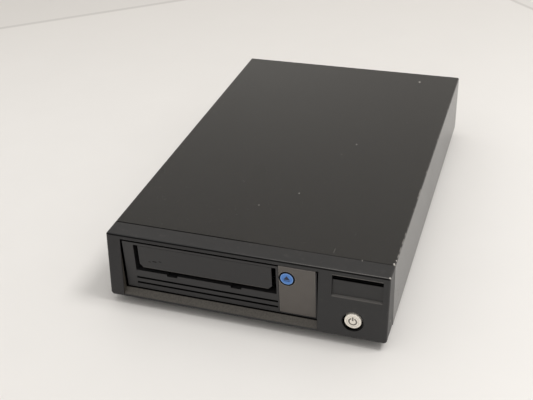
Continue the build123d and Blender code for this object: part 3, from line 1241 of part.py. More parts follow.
def fan_housing():
    """The fan's square frame: a round duct, four lugs and the hub's carrier on struts."""
    frame = rounded_y(around(FAN_X, FAN_SIZE), FAN_Y, around(FAN_Z, FAN_SIZE), FAN_CORNER)
    frame -= bar_y(FAN_X, past(FAN_Y), FAN_Z, FAN_BORE)
    middle = Pos(FAN_X, sum(FAN_Y) / 2, FAN_Z)
    waist = Box(FAN_WAIST_CUT, FAN_DEPTH - 2 * FAN_WAIST, FAN_SIZE - 2 * FAN_LUG)
    for turn in (0, 90, 180, 270):
        frame -= middle * Rot(0, turn, 0) * Pos(FAN_SIZE / 2, 0, 0) * waist
    for x, z in FAN_HOLES:
        frame -= bar_y(x, past(FAN_Y), z, SCREW_HOLE)
    low = FAN_Y[0]
    frame += bar_y(FAN_X, (low, low + FAN_BACK), FAN_Z, FAN_HUB)
    span = (FAN_HUB - FAN_WALL, FAN_BORE + FAN_WALL / 2)
    strut = block(span, (0, FAN_STRUT), around(0, FAN_STRUT))
    for i in range(FAN_STRUTS):
        frame += Pos(FAN_X, low, FAN_Z) * Rot(0, i * 360.0 / FAN_STRUTS, 0) * strut
    return frame + bar_y(FAN_X, (low, low + FAN_SHAFT_LENGTH), FAN_Z, FAN_SHAFT)


def fan_rotor():
    """The fan's hub with its swept blades."""
    hub = bar_y(FAN_X, ROTOR_Y, FAN_Z, FAN_HUB)
    hub = fillet(hub.edges().group_by(Axis.Y)[-1], FAN_HUB_ROUND)
    tip = FAN_BORE - FAN_TIP_GAP
    root = FAN_HUB - FAN_BLADE_ROOT
    blade = Box(tip - root, FAN_BLADE_THICK, FAN_BLADE_CHORD)
    blade = Pos((tip + root) / 2, 0, 0) * Rot(FAN_BLADE_PITCH, 0, 0) * blade
    keep = bar_y(FAN_X, ROTOR_Y, FAN_Z, tip) - bar_y(FAN_X, ROTOR_Y, FAN_Z, root)
    middle = Pos(FAN_X, sum(ROTOR_Y) / 2, FAN_Z)
    for i in range(FAN_BLADES):
        hub += (middle * Rot(0, i * 360.0 / FAN_BLADES, 0) * blade) & keep
    bore = (FAN_Y[0], FAN_Y[0] + FAN_SHAFT_LENGTH + FAN_RUN_GAP)
    return hub - bar_y(FAN_X, bore, FAN_Z, FAN_SHAFT + SPIN_CLEAR)


def socket_outline(size, corner):
    """The inlet's keyed outline: a rectangle with its two upper corners cut off."""
    x0, x1 = around(INLET_X, size[0])
    z0, z1 = around(FAN_Z, size[1])
    return [(x0, z0), (x1, z0), (x1, z1 - corner), (x1 - corner, z1), (x0 + corner, z1), (x0, z1 - corner)]


def power_inlet():
    """The moulded mains inlet: a screwed flange, a body and a keyed cavity."""
    flange = (PANEL_Y, INLET_MOUTH)
    wide, tall = INLET_FLANGE
    inlet = rounded_y(around(INLET_X, wide), flange, around(FAN_Z, tall), INLET_FLANGE_ROUND)
    body = (PANEL_Y - INLET_BODY, PANEL_Y + INLET_THICK / 2)
    inlet += profile_y(socket_outline(INLET_SIZE, INLET_CUT_CORNER), body)
    cavity = (INLET_MOUTH - INLET_DEPTH, INLET_MOUTH + CUT)
    inlet -= profile_y(socket_outline(INLET_CAVITY, INLET_CAVITY_CORNER), cavity)
    for x in INLET_HOLES:
        inlet -= bar_y(x, past(flange), FAN_Z, SCREW_HOLE)
        inlet -= bar_y(x, (INLET_MOUTH - INLET_COUNTERSINK, INLET_MOUTH + CUT), FAN_Z, SCREW_HEAD + NEST)
    for x, z in INLET_PINS:
        inlet -= block(around(x, BLADE_SIZE[0]), (body[0] - CUT, INLET_MOUTH), around(z, BLADE_SIZE[1]))
    return inlet


def inlet_pin(x, z):
    """A blade through the inlet, with its tag at the back."""
    length = (PANEL_Y - INLET_BODY - BLADE_TAG, INLET_MOUTH - BLADE_RECESS)
    return block(around(x, BLADE_SIZE[0]), length, around(z, BLADE_SIZE[1]))


def case_screws():
    """The case's pan-head screws: cover tabs, fan, inlet and switch board."""
    screws = [pan_screw_y(x, COVER_TAB_Y[1], COVER_SCREW_Z, SCREW_SHORT) for x in COVER_TABS]
    screws += [pan_screw_y(x, PANEL_Y, z, SCREW_FAN) for x, z in FAN_HOLES]
    screws += [pan_screw_y(x, INLET_MOUTH - INLET_COUNTERSINK, FAN_Z, SCREW_INLET) for x in INLET_HOLES]
    screws += [pan_screw_y(x, SWITCH_BOARD_Y[1], BOSS_Z, SCREW_SHORT) for x in BOSS_XS]
    return screws


def data_port(x):
    """A shielded data connector: a folded shell round a tongue."""
    wide, tall = PORT_SHELL
    length = (PORT_MOUTH - PORT_LENGTH, PORT_MOUTH)
    shell = rounded_y(around(x, wide), length, around(FAN_Z, tall), PORT_SHELL_ROUND)
    wide, tall = PORT_CAVITY
    back = PORT_MOUTH - PORT_CAVITY_DEPTH
    shell -= block(around(x, wide), (back, PORT_MOUTH + CUT), around(FAN_Z, tall))
    wide, tall = PORT_TONGUE
    return shell + block(around(x, wide), (back - CUT, PORT_MOUTH - PORT_TONGUE_RECESS), around(FAN_Z, tall))


def port_board():
    """The small board that carries both data ports."""
    top = FAN_Z - PORT_SHELL[1] / 2
    end = PANEL_IN - PORT_BOARD_GAP
    return block(inset(PORT_XS, -PORT_BOARD_MARGIN), (end - PORT_BOARD_DEPTH, end), (top - BOARD, top))


# ---- The power supply ----
def supply_board():
    """The power supply's board."""
    return block(SUPPLY_BOARD_X, SUPPLY_BOARD_Y, SUPPLY_BOARD_Z)


def supply_bracket():
    """The power supply's folded angle: a floor, one slotted side and four spacers."""
    bracket = block(SUPPLY_X, SUPPLY_Y, (FLOOR, FLOOR + SHEET))
    side = (SUPPLY_X[0], SUPPLY_X[0] + SHEET)
    bracket += block(side, SUPPLY_Y, (FLOOR, FLOOR + SUPPLY_SIDE))
    for x in inset(SUPPLY_X, SUPPLY_SPACER_INSET):
        for y in inset(SUPPLY_Y, SUPPLY_SPACER_INSET):
            bracket += post(x, y, (FLOOR, SUPPLY_BOARD_Z[0]), SUPPLY_SPACER)
    tall, wide = SUPPLY_VENT
    vent = Rot(0, 90, 0) * extrude(SlotOverall(tall, wide), SHEET + CUT, both=True)
    ends = inset(SUPPLY_Y, SUPPLY_VENT_INSET)
    for y in row(ends[0], ends[1], SUPPLY_VENT_PITCH):
        bracket -= Pos(sum(side) / 2, y, FLOOR + SUPPLY_VENT_HEIGHT) * vent
    return bracket


def supply_transformer():
    """A ferrite core in the shape of a closed window, standing on the board."""
    wide, deep, tall = CORE_SIZE
    y = SUPPLY_BOARD_Y[0] + CORE_AT
    x_pair = around(SUPPLY_MID, wide)
    z_pair = (SUPPLY_TOP, SUPPLY_TOP + tall)
    core = block(x_pair, around(y, deep), z_pair)
    return core - block(inset(x_pair, CORE_LEG), past(around(y, deep)), inset(z_pair, CORE_LEG))


def supply_winding():
    """The transformer's winding, through the core's window."""
    wide, deep, tall = CORE_SIZE
    x_pair = inset(around(SUPPLY_MID, wide), CORE_LEG + CORE_GAP)
    z_pair = inset((SUPPLY_TOP, SUPPLY_TOP + tall), CORE_LEG + CORE_GAP)
    coil = block(x_pair, around(SUPPLY_BOARD_Y[0] + CORE_AT, WINDING_LENGTH), z_pair)
    return fillet(coil.edges().filter_by(Axis.Z), WINDING_ROUND)


def supply_heatsink(at):
    """An extruded heat sink across the board, with upright fins."""
    y = SUPPLY_BOARD_Y[0] + at
    x_pair = inset(SUPPLY_BOARD_X, HEATSINK_INSET)
    top = SUPPLY_TOP + HEATSINK_HEIGHT
    sink = block(x_pair, (y, y + HEATSINK_PLATE), (SUPPLY_TOP, top))
    fin_y = (y + HEATSINK_PLATE / 2, y + HEATSINK_PLATE + HEATSINK_FIN)
    for x in row(x_pair[0], x_pair[1], HEATSINK_FIN_PITCH):
        sink += block(around(x, HEATSINK_FIN_THICK), fin_y, (SUPPLY_TOP + HEATSINK_FOOT, top))
    return sink


def supply_cans(size, at, pitch):
    """A row of electrolytic capacitors across the board."""
    radius, height = size
    cans = []
    for x in row(SUPPLY_BOARD_X[0], SUPPLY_BOARD_X[1], pitch):
        can = post(x, SUPPLY_BOARD_Y[0] + at, (SUPPLY_TOP, SUPPLY_TOP + height), radius)
        cans.append(fillet(can.edges().group_by(Axis.Z)[-1], CAN_ROUND))
    return cans


def supply_choke():
    """A wound ring standing on the board."""
    height = SUPPLY_TOP + CHOKE_RING + CHOKE_WIRE - CHOKE_SINK
    place = Pos(SUPPLY_MID, SUPPLY_BOARD_Y[0] + CHOKE_AT, height)
    return place * Rot(90, 0, 0) * Torus(CHOKE_RING, CHOKE_WIRE)


# ---- Every sub-part in its place ----
def build():
    """All the sub-parts by name; a list is a group of separate solids."""
    input_cans = supply_cans(INPUT_CAN, INPUT_CAN_AT, INPUT_CAN_PITCH)
    output_cans = supply_cans(OUTPUT_CAN, OUTPUT_CAN_AT, OUTPUT_CAN_PITCH)
    side_screws = [drive_screw(side, y) for side in (-1, 1) for y in BRACKET_SCREW_Y]
    parts = {
        "top_cover": top_cover(),
        "base_tray": base_tray(),
        "rear_panel": rear_panel(),
        "rubber_feet": [rubber_foot(x, y) for x, y in FOOT_AT],
        "foot_screws": [foot_screw(x, y) for x, y in FOOT_AT],
        "case_screws": case_screws(),
        "front_bezel": front_bezel(),
        "badge_plate": badge_plate(),
        "power_button": power_button(),
        "power_spring": power_spring(),
        "power_switch": power_switch(),
        "power_switch_board": power_switch_board(),
        "drive_bezel": drive_bezel(),
        "status_panel": status_panel(),
        "cartridge_door": cartridge_door(),
        "door_hinge_pin": door_hinge_pin(),
        "eject_button": eject_button(),
        "eject_switch": eject_switch(),
        "front_board": front_board(),
        "drive_chassis": drive_chassis(),
        "drive_lid": drive_lid(),
        "logic_board": logic_board(),
        "drive_connector": rear_connector(),
        "cartridge_carrier": cartridge_carrier(),
        "loader_plate_left": loader_plate(-1),
        "loader_plate_right": loader_plate(1),
        "loader_bridge": loader_bridge(),
        "supply_motor": hub_motor(*HUB_AT),
        "supply_hub": supply_hub(),
        "takeup_motor": hub_motor(*REEL_AT),
        "takeup_reel": takeup_reel(),
        "roller_axles": [roller_axle(x, y) for x, y in ROLLER_AT],
        "head_base": head_base(),
        "head_carriage": head_carriage(),
        "tape_head": tape_head(),
        "drive_bracket_left": drive_bracket(-1),
        "drive_bracket_right": drive_bracket(1),
        "drive_screws": side_screws + [lid_screw(x, y) for x, y in LID_POSTS],
        "fan_housing": fan_housing(),
        "fan_rotor": fan_rotor(),
        "power_inlet": power_inlet(),
        "inlet_pins": [inlet_pin(x, z) for x, z in INLET_PINS],
        "data_ports": [data_port(x) for x in PORT_XS],
        "port_board": port_board(),
        "supply_bracket": supply_bracket(),
        "supply_board": supply_board(),
        "supply_transformer": supply_transformer(),
        "supply_winding": supply_winding(),
        "supply_heatsinks": [supply_heatsink(at) for at in HEATSINK_AT],
        "supply_capacitors": input_cans + output_cans,
        "supply_choke": supply_choke(),
    }
    for number, place in enumerate(ROLLER_AT, 1):
        parts[f"guide_roller_{number}"] = guide_roller(*place)
    return parts


os.makedirs("parts", exist_ok=True)
for name, shape in build().items():
    solids = shape if isinstance(shape, list) else [shape]
    export_step(Compound(label=name, children=[part.solid() for part in solids]), f"parts/{name}.step")
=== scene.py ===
import math

import bmesh
import bpy
from mathutils import Matrix, Vector


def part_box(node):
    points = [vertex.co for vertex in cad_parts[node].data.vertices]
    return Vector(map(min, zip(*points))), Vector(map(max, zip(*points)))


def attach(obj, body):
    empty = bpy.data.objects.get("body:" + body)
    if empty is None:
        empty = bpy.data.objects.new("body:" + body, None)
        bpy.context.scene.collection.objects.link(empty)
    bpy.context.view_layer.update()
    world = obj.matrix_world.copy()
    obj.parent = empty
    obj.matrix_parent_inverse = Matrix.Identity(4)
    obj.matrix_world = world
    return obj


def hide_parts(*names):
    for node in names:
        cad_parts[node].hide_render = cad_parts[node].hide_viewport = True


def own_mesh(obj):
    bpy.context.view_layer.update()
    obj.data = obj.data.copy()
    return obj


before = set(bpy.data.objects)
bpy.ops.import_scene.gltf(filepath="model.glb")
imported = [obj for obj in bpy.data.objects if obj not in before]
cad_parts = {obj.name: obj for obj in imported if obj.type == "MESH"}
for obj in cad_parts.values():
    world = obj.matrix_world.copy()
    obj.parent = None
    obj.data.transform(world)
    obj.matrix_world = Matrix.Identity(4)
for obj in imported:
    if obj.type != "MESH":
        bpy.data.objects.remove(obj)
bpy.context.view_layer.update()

# The camera looks down on the drive from its right front corner.
camera_data = bpy.data.cameras.new("camera")
camera_data.sensor_width = 36.0
camera_data.lens = 58.721
camera = bpy.data.objects.new("camera", camera_data)
camera.location = (0.1865904, -0.6199566, 0.4185087)
camera.rotation_euler = (1.0034, 0.0414, 0.3198)
bpy.context.scene.collection.objects.link(camera)
bpy.context.scene.camera = camera


# ---- Case: cover, tray and rear panel ----
# Folded steel sheet with a satin black powder coat, fine as orange peel. It has
# worn through in small chips, mostly near the edges, and carries a little dust.
# Its right side is painted paler for the light along it, and painted shade
# darkens the seam behind the bezel.
class Signal:
    """One output of a shader node; arithmetic on it adds Math nodes."""

    def __init__(self, tree, socket=None):
        self.tree = tree
        self.socket = socket

    def node(self, kind, settings, inputs, output=0):
        """Adds a node: its settings first, then its sockets' values or links."""
        made = self.tree.nodes.new("ShaderNode" + kind)
        for name, value in settings.items():
            setattr(made, name, value)
        for name, value in inputs.items():
            if isinstance(value, Signal):
                self.tree.links.new(value.socket, made.inputs[name])
            else:
                made.inputs[name].default_value = value
        return Signal(self.tree, made.outputs[output] if made.outputs else None)

    def math(self, operation, *values):
        return self.node("Math", {"operation": operation}, dict(enumerate(values)))

    def __add__(self, other):
        return self.math("ADD", self, other)

    def __radd__(self, other):
        return self.math("ADD", other, self)

    def __sub__(self, other):
        return self.math("SUBTRACT", self, other)

    def __rsub__(self, other):
        return self.math("SUBTRACT", other, self)

    def __mul__(self, other):
        return self.math("MULTIPLY", self, other)

    def __rmul__(self, other):
        return self.math("MULTIPLY", other, self)

    def __truediv__(self, other):
        return self.math("DIVIDE", self, other)

    def __abs__(self):
        return self.math("ABSOLUTE", self)

    def __or__(self, other):
        return self.math("MAXIMUM", self, other)

    def __and__(self, other):
        return self.math("MINIMUM", self, other)


def finish(name, recipe):
    """A node material: recipe takes the place on the piece and gives the shader's inputs."""
    material = bpy.data.materials.new(name)
    material.use_nodes = True
    material.node_tree.nodes.clear()
    place = Signal(material.node_tree).node("TexCoord", {}, {}, "Object")
    shader = place.node("BsdfPrincipled", {}, recipe(place))
    shader.node("OutputMaterial", {}, {"Surface": shader})
    return material


def dress(material, *names):
    """Gives CAD nodes their material."""
    for name in names:
        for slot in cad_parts[name].material_slots:
            slot.material = material


def grain(place, size, detail=2.0):
    """Soft noise from 0 to 1, with lumps of about this size in metres."""
    return place.node("TexNoise", {}, {"Vector": place, "Scale": 1.0 / size, "Detail": detail})


def rise(value, low, high):
    """A smooth step from 0 at low to 1 at high."""
    inputs = {"Value": value, "From Min": low, "From Max": high}
    return value.node("MapRange", {"interpolation_type": "SMOOTHSTEP"}, inputs)


def fall(value, low, high):
    """A smooth step from 1 at low to 0 at high."""
    return 1.0 - rise(value, low, high)


def blend(mask, first, second):
    """The first colour where the mask is 0, the second where it is 1."""
    return mask.node("Mix", {"data_type": "RGBA"}, {0: mask, 6: first, 7: second}, 2)


def relief(height, depth):
    """The surface's normal over a height of 0 to 1 that stands for this depth in metres."""
    return height.node("Bump", {}, {"Height": height, "Distance": depth, "Strength": 1.0})


def part(place, axis):
    """The place along one axis."""
    return place.node("SeparateXYZ", {}, {"Vector": place}, axis)


def chips(place, ragged, spots):
    """A mask of small ragged marks: each spot is a point and a radius, in metres."""
    mask = None
    for point, radius in spots:
        away = place.node("VectorMath", {"operation": "DISTANCE"}, {0: place, 1: point}, "Value")
        mark = fall(away + ragged * radius, radius * 1.1, radius * 1.5)
        mask = mark if mask is None else mask | mark
    return mask


def long_marks(place, ragged, shrink, spots):
    """Ragged marks, drawn out along the axes that are shrunk."""
    squeezed = place.node("Mapping", {}, {"Vector": place, "Scale": shrink})
    spots = [(tuple(p * s for p, s in zip(point, shrink)), radius) for point, radius in spots]
    return chips(squeezed, ragged, spots)


cover_low, cover_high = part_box("top_cover")
BLACK_PAINT = (0.0095, 0.0086, 0.0072, 1.0)
DUSTY_PAINT = (0.0160, 0.0148, 0.0130, 1.0)
SIDE_PAINTED_LIGHT = (0.050, 0.048, 0.045, 1.0)
CHIPPED = (0.42, 0.40, 0.37, 1.0)
# Black for painted shade in seams, gaps, grooves and under edges, and for the door's smears; used
# with Metallic so that it reflects nothing.
SHADE_AND_SMEAR_BLACK = (0.0, 0.0, 0.0, 1.0)
SEAM_SHADE_WIDTH = 0.00045
SEAM_SHADE_FADES = (0.09, 0.15)
SIDE_LIGHT_FADE = (-0.0005, -0.0001)
PEEL_SIZE = 0.0011
PEEL_DEPTH = 0.000006
CLOUD_SIZE = 0.06
DUST_SIZE = 0.0022
ARRIS_CORE = 0.0005
ARRIS_REACH = 0.0009
ARRIS_PATCH = 0.006
ARRIS_WORN_TO = 0.12
ARRIS_BARE = (0.60, 0.66)


def on_top(from_left, from_seam):
    """A point on the cover's top."""
    return (cover_low.x + from_left, cover_low.y + from_seam, cover_high.z)


COVER_CHIPS = [
    (on_top(0.2118, 0.0016), 0.0008),
    (on_top(0.2126, 0.0060), 0.0008),
    (on_top(0.178, 0.2945), 0.0013),
    (on_top(0.0006, 0.0935), 0.0010),
    (on_top(0.123, 0.0725), 0.0005),
    (on_top(0.098, 0.0485), 0.0005),
    (on_top(0.148, 0.1595), 0.0006),
    (on_top(0.140, 0.1395), 0.0004),
    (on_top(0.2122, 0.0006), 0.0011),
]
SCRATCH = [(on_top(0.1685, 0.0065), 0.0004)]
SCRATCH_SHRINK = (1.0, 0.12, 1.0)
SMEAR = [(on_top(0.1895, 0.0005), 0.0004)]
SMEAR_SHRINK = (0.35, 1.0, 1.0)


def seam_shade_fading(x):
    """Painted shade along the seam behind the bezel: full at the left, fading towards the right."""
    return 1.0 - 0.8 * rise(x, cover_low.x + SEAM_SHADE_FADES[0], cover_low.x + SEAM_SHADE_FADES[1])


def powder_coat(place):
    x, y, z = (part(place, axis) for axis in "XYZ")
    peel = grain(place, PEEL_SIZE)
    cloud = grain(place, CLOUD_SIZE)
    dust = rise(grain(place, DUST_SIZE, 6.0), 0.62, 0.78)
    from_side, from_top = x - cover_high.x, z - cover_high.z
    arris = fall(from_side * from_side + from_top * from_top, ARRIS_CORE ** 2, ARRIS_REACH ** 2)
    frontward = fall(y, cover_low.y, cover_low.y + ARRIS_WORN_TO)
    ragged = rise(grain(place, ARRIS_PATCH, 5.0) + 0.12 * frontward, *ARRIS_BARE)
    scratch = long_marks(place, peel, SCRATCH_SHRINK, SCRATCH)
    smear = long_marks(place, peel, SMEAR_SHRINK, SMEAR)
    mark = chips(place, peel, COVER_CHIPS)
    mark = mark | (arris * ragged * 0.7) | (scratch * 0.12) | (smear * 0.15)
    paint = blend(0.25 * cloud + 0.35 * dust, BLACK_PAINT, DUSTY_PAINT)
    # Painted light: the right side face is painted paler, standing in for the bright reflection
    # along it.
    paint = blend(0.5 * rise(from_side, *SIDE_LIGHT_FADE), paint, SIDE_PAINTED_LIGHT)
    # Painted shade: a black band along the seam behind the bezel, with Metallic so that it reflects
    # nothing.
    at_seam = fall(y, cover_low.y + SEAM_SHADE_WIDTH, cover_low.y + SEAM_SHADE_WIDTH * 2.0)
    shaded = at_seam * seam_shade_fading(x)
    return {
        "Base Color": blend(shaded, blend(mark, paint, CHIPPED), SHADE_AND_SMEAR_BLACK),
        "Metallic": shaded,
        "Roughness": 0.19 + 0.05 * cloud + 0.12 * dust,
        "Normal": relief(peel - 2.0 * mark, PEEL_DEPTH),
    }


dress(finish("powder_coat", powder_coat), "top_cover", "base_tray", "rear_panel")


# ---- Feet ----
# Moulded black rubber, dull and a little dusty. Each is held by one screw through
# its middle.
RUBBER_BLACK = (0.014, 0.014, 0.014, 1.0)
RUBBER_DUST = (0.05, 0.048, 0.044, 1.0)


def dull_rubber(place):
    lumps = grain(place, 0.0006, 4.0)
    dust = rise(grain(place, 0.004, 3.0), 0.5, 0.75)
    return {
        "Base Color": blend(dust * 0.5, RUBBER_BLACK, RUBBER_DUST),
        "Roughness": 0.78 + 0.1 * dust,
        "Normal": relief(lumps, 0.00003),
    }


dress(finish("dull_rubber", dull_rubber), "rubber_feet")


# ---- Screws ----
# Zinc-plated steel with pan heads and a cross recess. They hold the feet, the
# case's panels, the fan, the inlet and the switch's board, and the drive's brackets
# and lid.
HEAD_RADIUS = 0.0028
HEAD_HIGH = 0.0016
SHANK_RADIUS = 0.0015
RECESS_WIDTH = 0.0008
RECESS_LENGTH = 0.0031
RECESS_DEPTH = 0.0011
ROUND_STEPS = 24
ZINC_BRIGHT = (0.58, 0.58, 0.59, 1.0)
ZINC_STAINED = (0.46, 0.43, 0.37, 1.0)


def zinc_plate(place):
    streak = grain(place, 0.0009, 5.0)
    stain = rise(grain(place, 0.007, 2.0), 0.55, 0.8)
    return {
        "Base Color": blend(stain * 0.4, ZINC_BRIGHT, ZINC_STAINED),
        "Metallic": 1.0 - 0.15 * stain,
        "Roughness": 0.30 + 0.18 * streak,
        "Normal": relief(streak, 0.000008),
    }


def turned(name, outline):
    """A solid turned about Z from an outline of (radius, height) points, with flat ends."""
    shape = bmesh.new()
    rings = []
    for radius, height in outline:
        angles = [2 * math.pi * i / ROUND_STEPS for i in range(ROUND_STEPS)]
        ring = [(radius * math.cos(a), radius * math.sin(a), height) for a in angles]
        rings.append([shape.verts.new(p) for p in ring])
    for low, high in zip(rings, rings[1:]):
        for i in range(ROUND_STEPS):
            after = (i + 1) % ROUND_STEPS
            shape.faces.new((low[i], low[after], high[after], high[i]))
    shape.faces.new(list(reversed(rings[0])))
    shape.faces.new(rings[-1])
    mesh = bpy.data.meshes.new(name)
    bmesh.ops.recalc_face_normals(shape, faces=shape.faces)
    shape.to_mesh(mesh)
    shape.free()
    return mesh


def piece(name, mesh, material, body):
    """A new object in the row frame, which rides on a body."""
    made = bpy.data.objects.new(name, mesh)
    mesh.materials.clear()
    mesh.materials.append(material)
    bpy.context.scene.collection.objects.link(made)
    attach(made, body)
    return made


def carved(mesh, cutter):
    """The mesh with the cutter's shape taken out of it."""
    first = bpy.data.objects.new("carved", mesh)
    second = bpy.data.objects.new("cutter", cutter)
    for made in (first, second):
        bpy.context.scene.collection.objects.link(made)
    cut = first.modifiers.new("cut", "BOOLEAN")
    cut.operation = "DIFFERENCE"
    cut.object = second
    cut.solver = "EXACT"
    seen = first.evaluated_get(bpy.context.evaluated_depsgraph_get())
    result = bpy.data.meshes.new_from_object(seen)
    bpy.data.objects.remove(first)
    bpy.data.objects.remove(second)
    return result


def cross_cutter():
    """A cross that narrows towards the recess's bottom."""
    shape = bmesh.new()
    arm, half = RECESS_LENGTH / 2, RECESS_WIDTH / 2
    quarter = [(arm, -half), (arm, half), (half, half)]
    rings = []
    for height, share in ((-RECESS_DEPTH, 0.5), (RECESS_DEPTH, 1.0)):
        ring = []
        for turn in range(4):
            for x, y in quarter:
                for _ in range(turn):
                    x, y = -y, x
                ring.append(shape.verts.new((x * share, y * share, height)))
        rings.append(ring)
    low, high = rings
    count = len(low)
    for i in range(count):
        after = (i + 1) % count
        shape.faces.new((low[i], low[after], high[after], high[i]))
    shape.faces.new(list(reversed(low)))
    shape.faces.new(high)
    mesh = bpy.data.meshes.new("recess")
    shape.to_mesh(mesh)
    shape.free()
    return mesh


def screw_mesh(length):
    """A pan-head screw, its seat at the origin and its head towards +Z."""
    outline = [(SHANK_RADIUS * 0.7, -length), (SHANK_RADIUS, -length + 0.0005), (SHANK_RADIUS, 0.0)]
    outline += [(HEAD_RADIUS, 0.0), (HEAD_RADIUS, HEAD_HIGH * 0.45)]
    outline += [(HEAD_RADIUS * 0.90, HEAD_HIGH * 0.8), (HEAD_RADIUS * 0.66, HEAD_HIGH)]
    cutter = cross_cutter()
    cutter.transform(Matrix.Translation((0, 0, HEAD_HIGH)))
    return carved(turned("screw", outline), cutter)


def screws(name, places):
    """One object that stands for a node of screws: each is (seat, direction of head, length)."""
    shape = bmesh.new()
    for seat, towards, length in places:
        one = screw_mesh(length)
        turn = Vector((0, 0, 1)).rotation_difference(Vector(towards)).to_matrix().to_4x4()
        one.transform(Matrix.Translation(seat) @ turn)
        shape.from_mesh(one)
    mesh = bpy.data.meshes.new(name)
    shape.to_mesh(mesh)
    shape.free()
    made = piece("dressed_" + name, mesh, zinc, "case")
    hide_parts(name)


zinc = finish("zinc_plate", zinc_plate)
screw_low, screw_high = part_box("foot_screws")
foot_seat = screw_low.z + HEAD_HIGH
foot_xs = (screw_low.x + HEAD_RADIUS, screw_high.x - HEAD_RADIUS)
foot_ys = (screw_low.y + HEAD_RADIUS, screw_high.y - HEAD_RADIUS)
length = screw_high.z - foot_seat
screws("foot_screws", [((x, y, foot_seat), (0, 0, -1), length) for x in foot_xs for y in foot_ys])

SHORT = 0.005
FAN_SCREW = 0.012
FAN_HALF_PITCH = 0.016
INLET_SCREW = 0.007
INLET_HALF_PITCH = 0.020
INLET_SUNK = 0.0014
TAB_INSET = 0.014
TAB_DROP = 0.007
PORT_HALF_WIDTH = 0.012
BOSS_HALF_PITCH = 0.009
BOSS_RADIUS = 0.0032
panel_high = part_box("rear_panel")[1]
fan_low, fan_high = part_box("fan_housing")
fan_middle = (fan_low + fan_high) / 2
inlet_low, inlet_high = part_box("power_inlet")
inlet_middle = (inlet_low + inlet_high) / 2
ports_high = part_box("data_ports")[1]
case_screw_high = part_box("case_screws")[1]
tab_y = case_screw_high.y - HEAD_HIGH
tab_z = cover_high.z - TAB_DROP
middle_tab = (ports_high.x - PORT_HALF_WIDTH + fan_middle.x) / 2
tab_xs = (cover_low.x + TAB_INSET, middle_tab, cover_high.x - TAB_INSET)
places = [((x, tab_y, tab_z), (0, 1, 0), SHORT) for x in tab_xs]
for across in (-FAN_HALF_PITCH, FAN_HALF_PITCH):
    for up in (-FAN_HALF_PITCH, FAN_HALF_PITCH):
        seat = (fan_middle.x + across, panel_high.y, fan_middle.z + up)
        places.append((seat, (0, 1, 0), FAN_SCREW))
for across in (-INLET_HALF_PITCH, INLET_HALF_PITCH):
    seat = (inlet_middle.x + across, inlet_high.y - INLET_SUNK, inlet_middle.z)
    places.append((seat, (0, 1, 0), INLET_SCREW))
board_low, board_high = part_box("power_switch_board")
for across in (-BOSS_HALF_PITCH, BOSS_HALF_PITCH):
    seat = ((board_low.x + board_high.x) / 2 + across, board_high.y, board_high.z - BOSS_RADIUS)
    places.append((seat, (0, 1, 0), SHORT))
screws("case_screws", places)

SIDE_SCREW = 0.0037
BRACKET_SCREW_INSET = 0.020
POST_INSET = 0.005
POST_FRONT = 0.016
bracket_low, bracket_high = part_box("drive_bracket_left")
right_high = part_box("drive_bracket_right")[1]
chassis_low, chassis_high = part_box("drive_chassis")
lid_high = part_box("drive_lid")[1]
drive_screw_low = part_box("drive_screws")[0]
places = []
for y in (bracket_low.y + BRACKET_SCREW_INSET, bracket_high.y - BRACKET_SCREW_INSET):
    z = drive_screw_low.z + HEAD_RADIUS
    places.append(((bracket_low.x, y, z), (-1, 0, 0), SIDE_SCREW))
    places.append(((right_high.x, y, z), (1, 0, 0), SIDE_SCREW))
for x in (chassis_low.x + POST_INSET, chassis_high.x - POST_INSET):
    for y in (chassis_low.y + POST_FRONT, chassis_high.y - POST_INSET):
        places.append(((x, y, lid_high.z), (0, 0, 1), SHORT))
screws("drive_screws", places)


# ---- Front bezel ----
# One black moulding with a fine spark-eroded texture, rubbed in patches. Its
# sloping sill is paler, with dust and a painted sheen; its upper edge, the badge's
# rims and the power button's collar carry painted highlights; its face is painted
# lighter towards the right; and the corner beside the cover is chipped pale.
# Painted shade darkens the seam, the sill's back, a line under the upper edge and
# a crescent under the power button.
LIP_BLACK = (0.0085, 0.0081, 0.0080, 1.0)
FACE_SHADED_LEFT = (0.0095, 0.0090, 0.0100, 1.0)
FACE_LIT_RIGHT = (0.0175, 0.0172, 0.0176, 1.0)
RUBBED_BLACK = (0.030, 0.028, 0.026, 1.0)
SILL_DUST_AND_SHEEN = (0.082, 0.073, 0.061, 1.0)
PAINTED_HIGHLIGHT = (0.16, 0.15, 0.14, 1.0)
BEZEL_LEAN = 0.0065
LIP_DEPTH = 0.0153
BROW = 0.0042
SPARK_SIZE = 0.00045
SPARK_DEPTH = 0.000010
RUB_PATCH = 0.006
FACE_EVEN = 0.04
FACE_TURN = (0.0002, 0.0012)
SOFT = 0.0004
SIGN_SOFT = 0.00012
OPENING_LEFT = 0.0026
OPENING_RIGHT = 0.0020
OPENING_BEHIND = (0.0003, 0.0008)
SILL_GRIT = 0.0013
SILL_SHADE = 0.0008
HIGHLIGHT_BACK = 0.0006
HIGHLIGHT_DOWN = 0.0004
HIGHLIGHT_CORE = 0.0002
HIGHLIGHT_REACH = 0.00045
HIGHLIGHT_ALONG = (0.07, 0.19)
EDGE_SHADE_DOWN = 0.0009
EDGE_SHADE_LINE = (0.0003, 0.0007)
EDGE_SHADE_BEHIND = (0.0005, 0.0009)
BROW_LINE = (0.0002, 0.0006)
BROW_BEHIND = (0.0003, 0.0007)
LEDGE_TALL = 0.0019
LEDGE_SOFT = 0.0006
LEDGE_FADE = (0.0001, 0.0003)
BESIDE_PLATE = 0.0003
BESIDE_LINE = (0.00010, 0.00016)
BESIDE_BEHIND = (0.0001, 0.0003)
COLLAR_RADIUS = 0.0070
COLLAR_LINE = 0.0002
CRESCENT_RADIUS = 0.0070
CRESCENT_LEFT = 0.0003
CRESCENT_DOWN = 0.0007
ARC_FADE = (0.0, 0.006)
bezel_low, bezel_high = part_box("front_bezel")
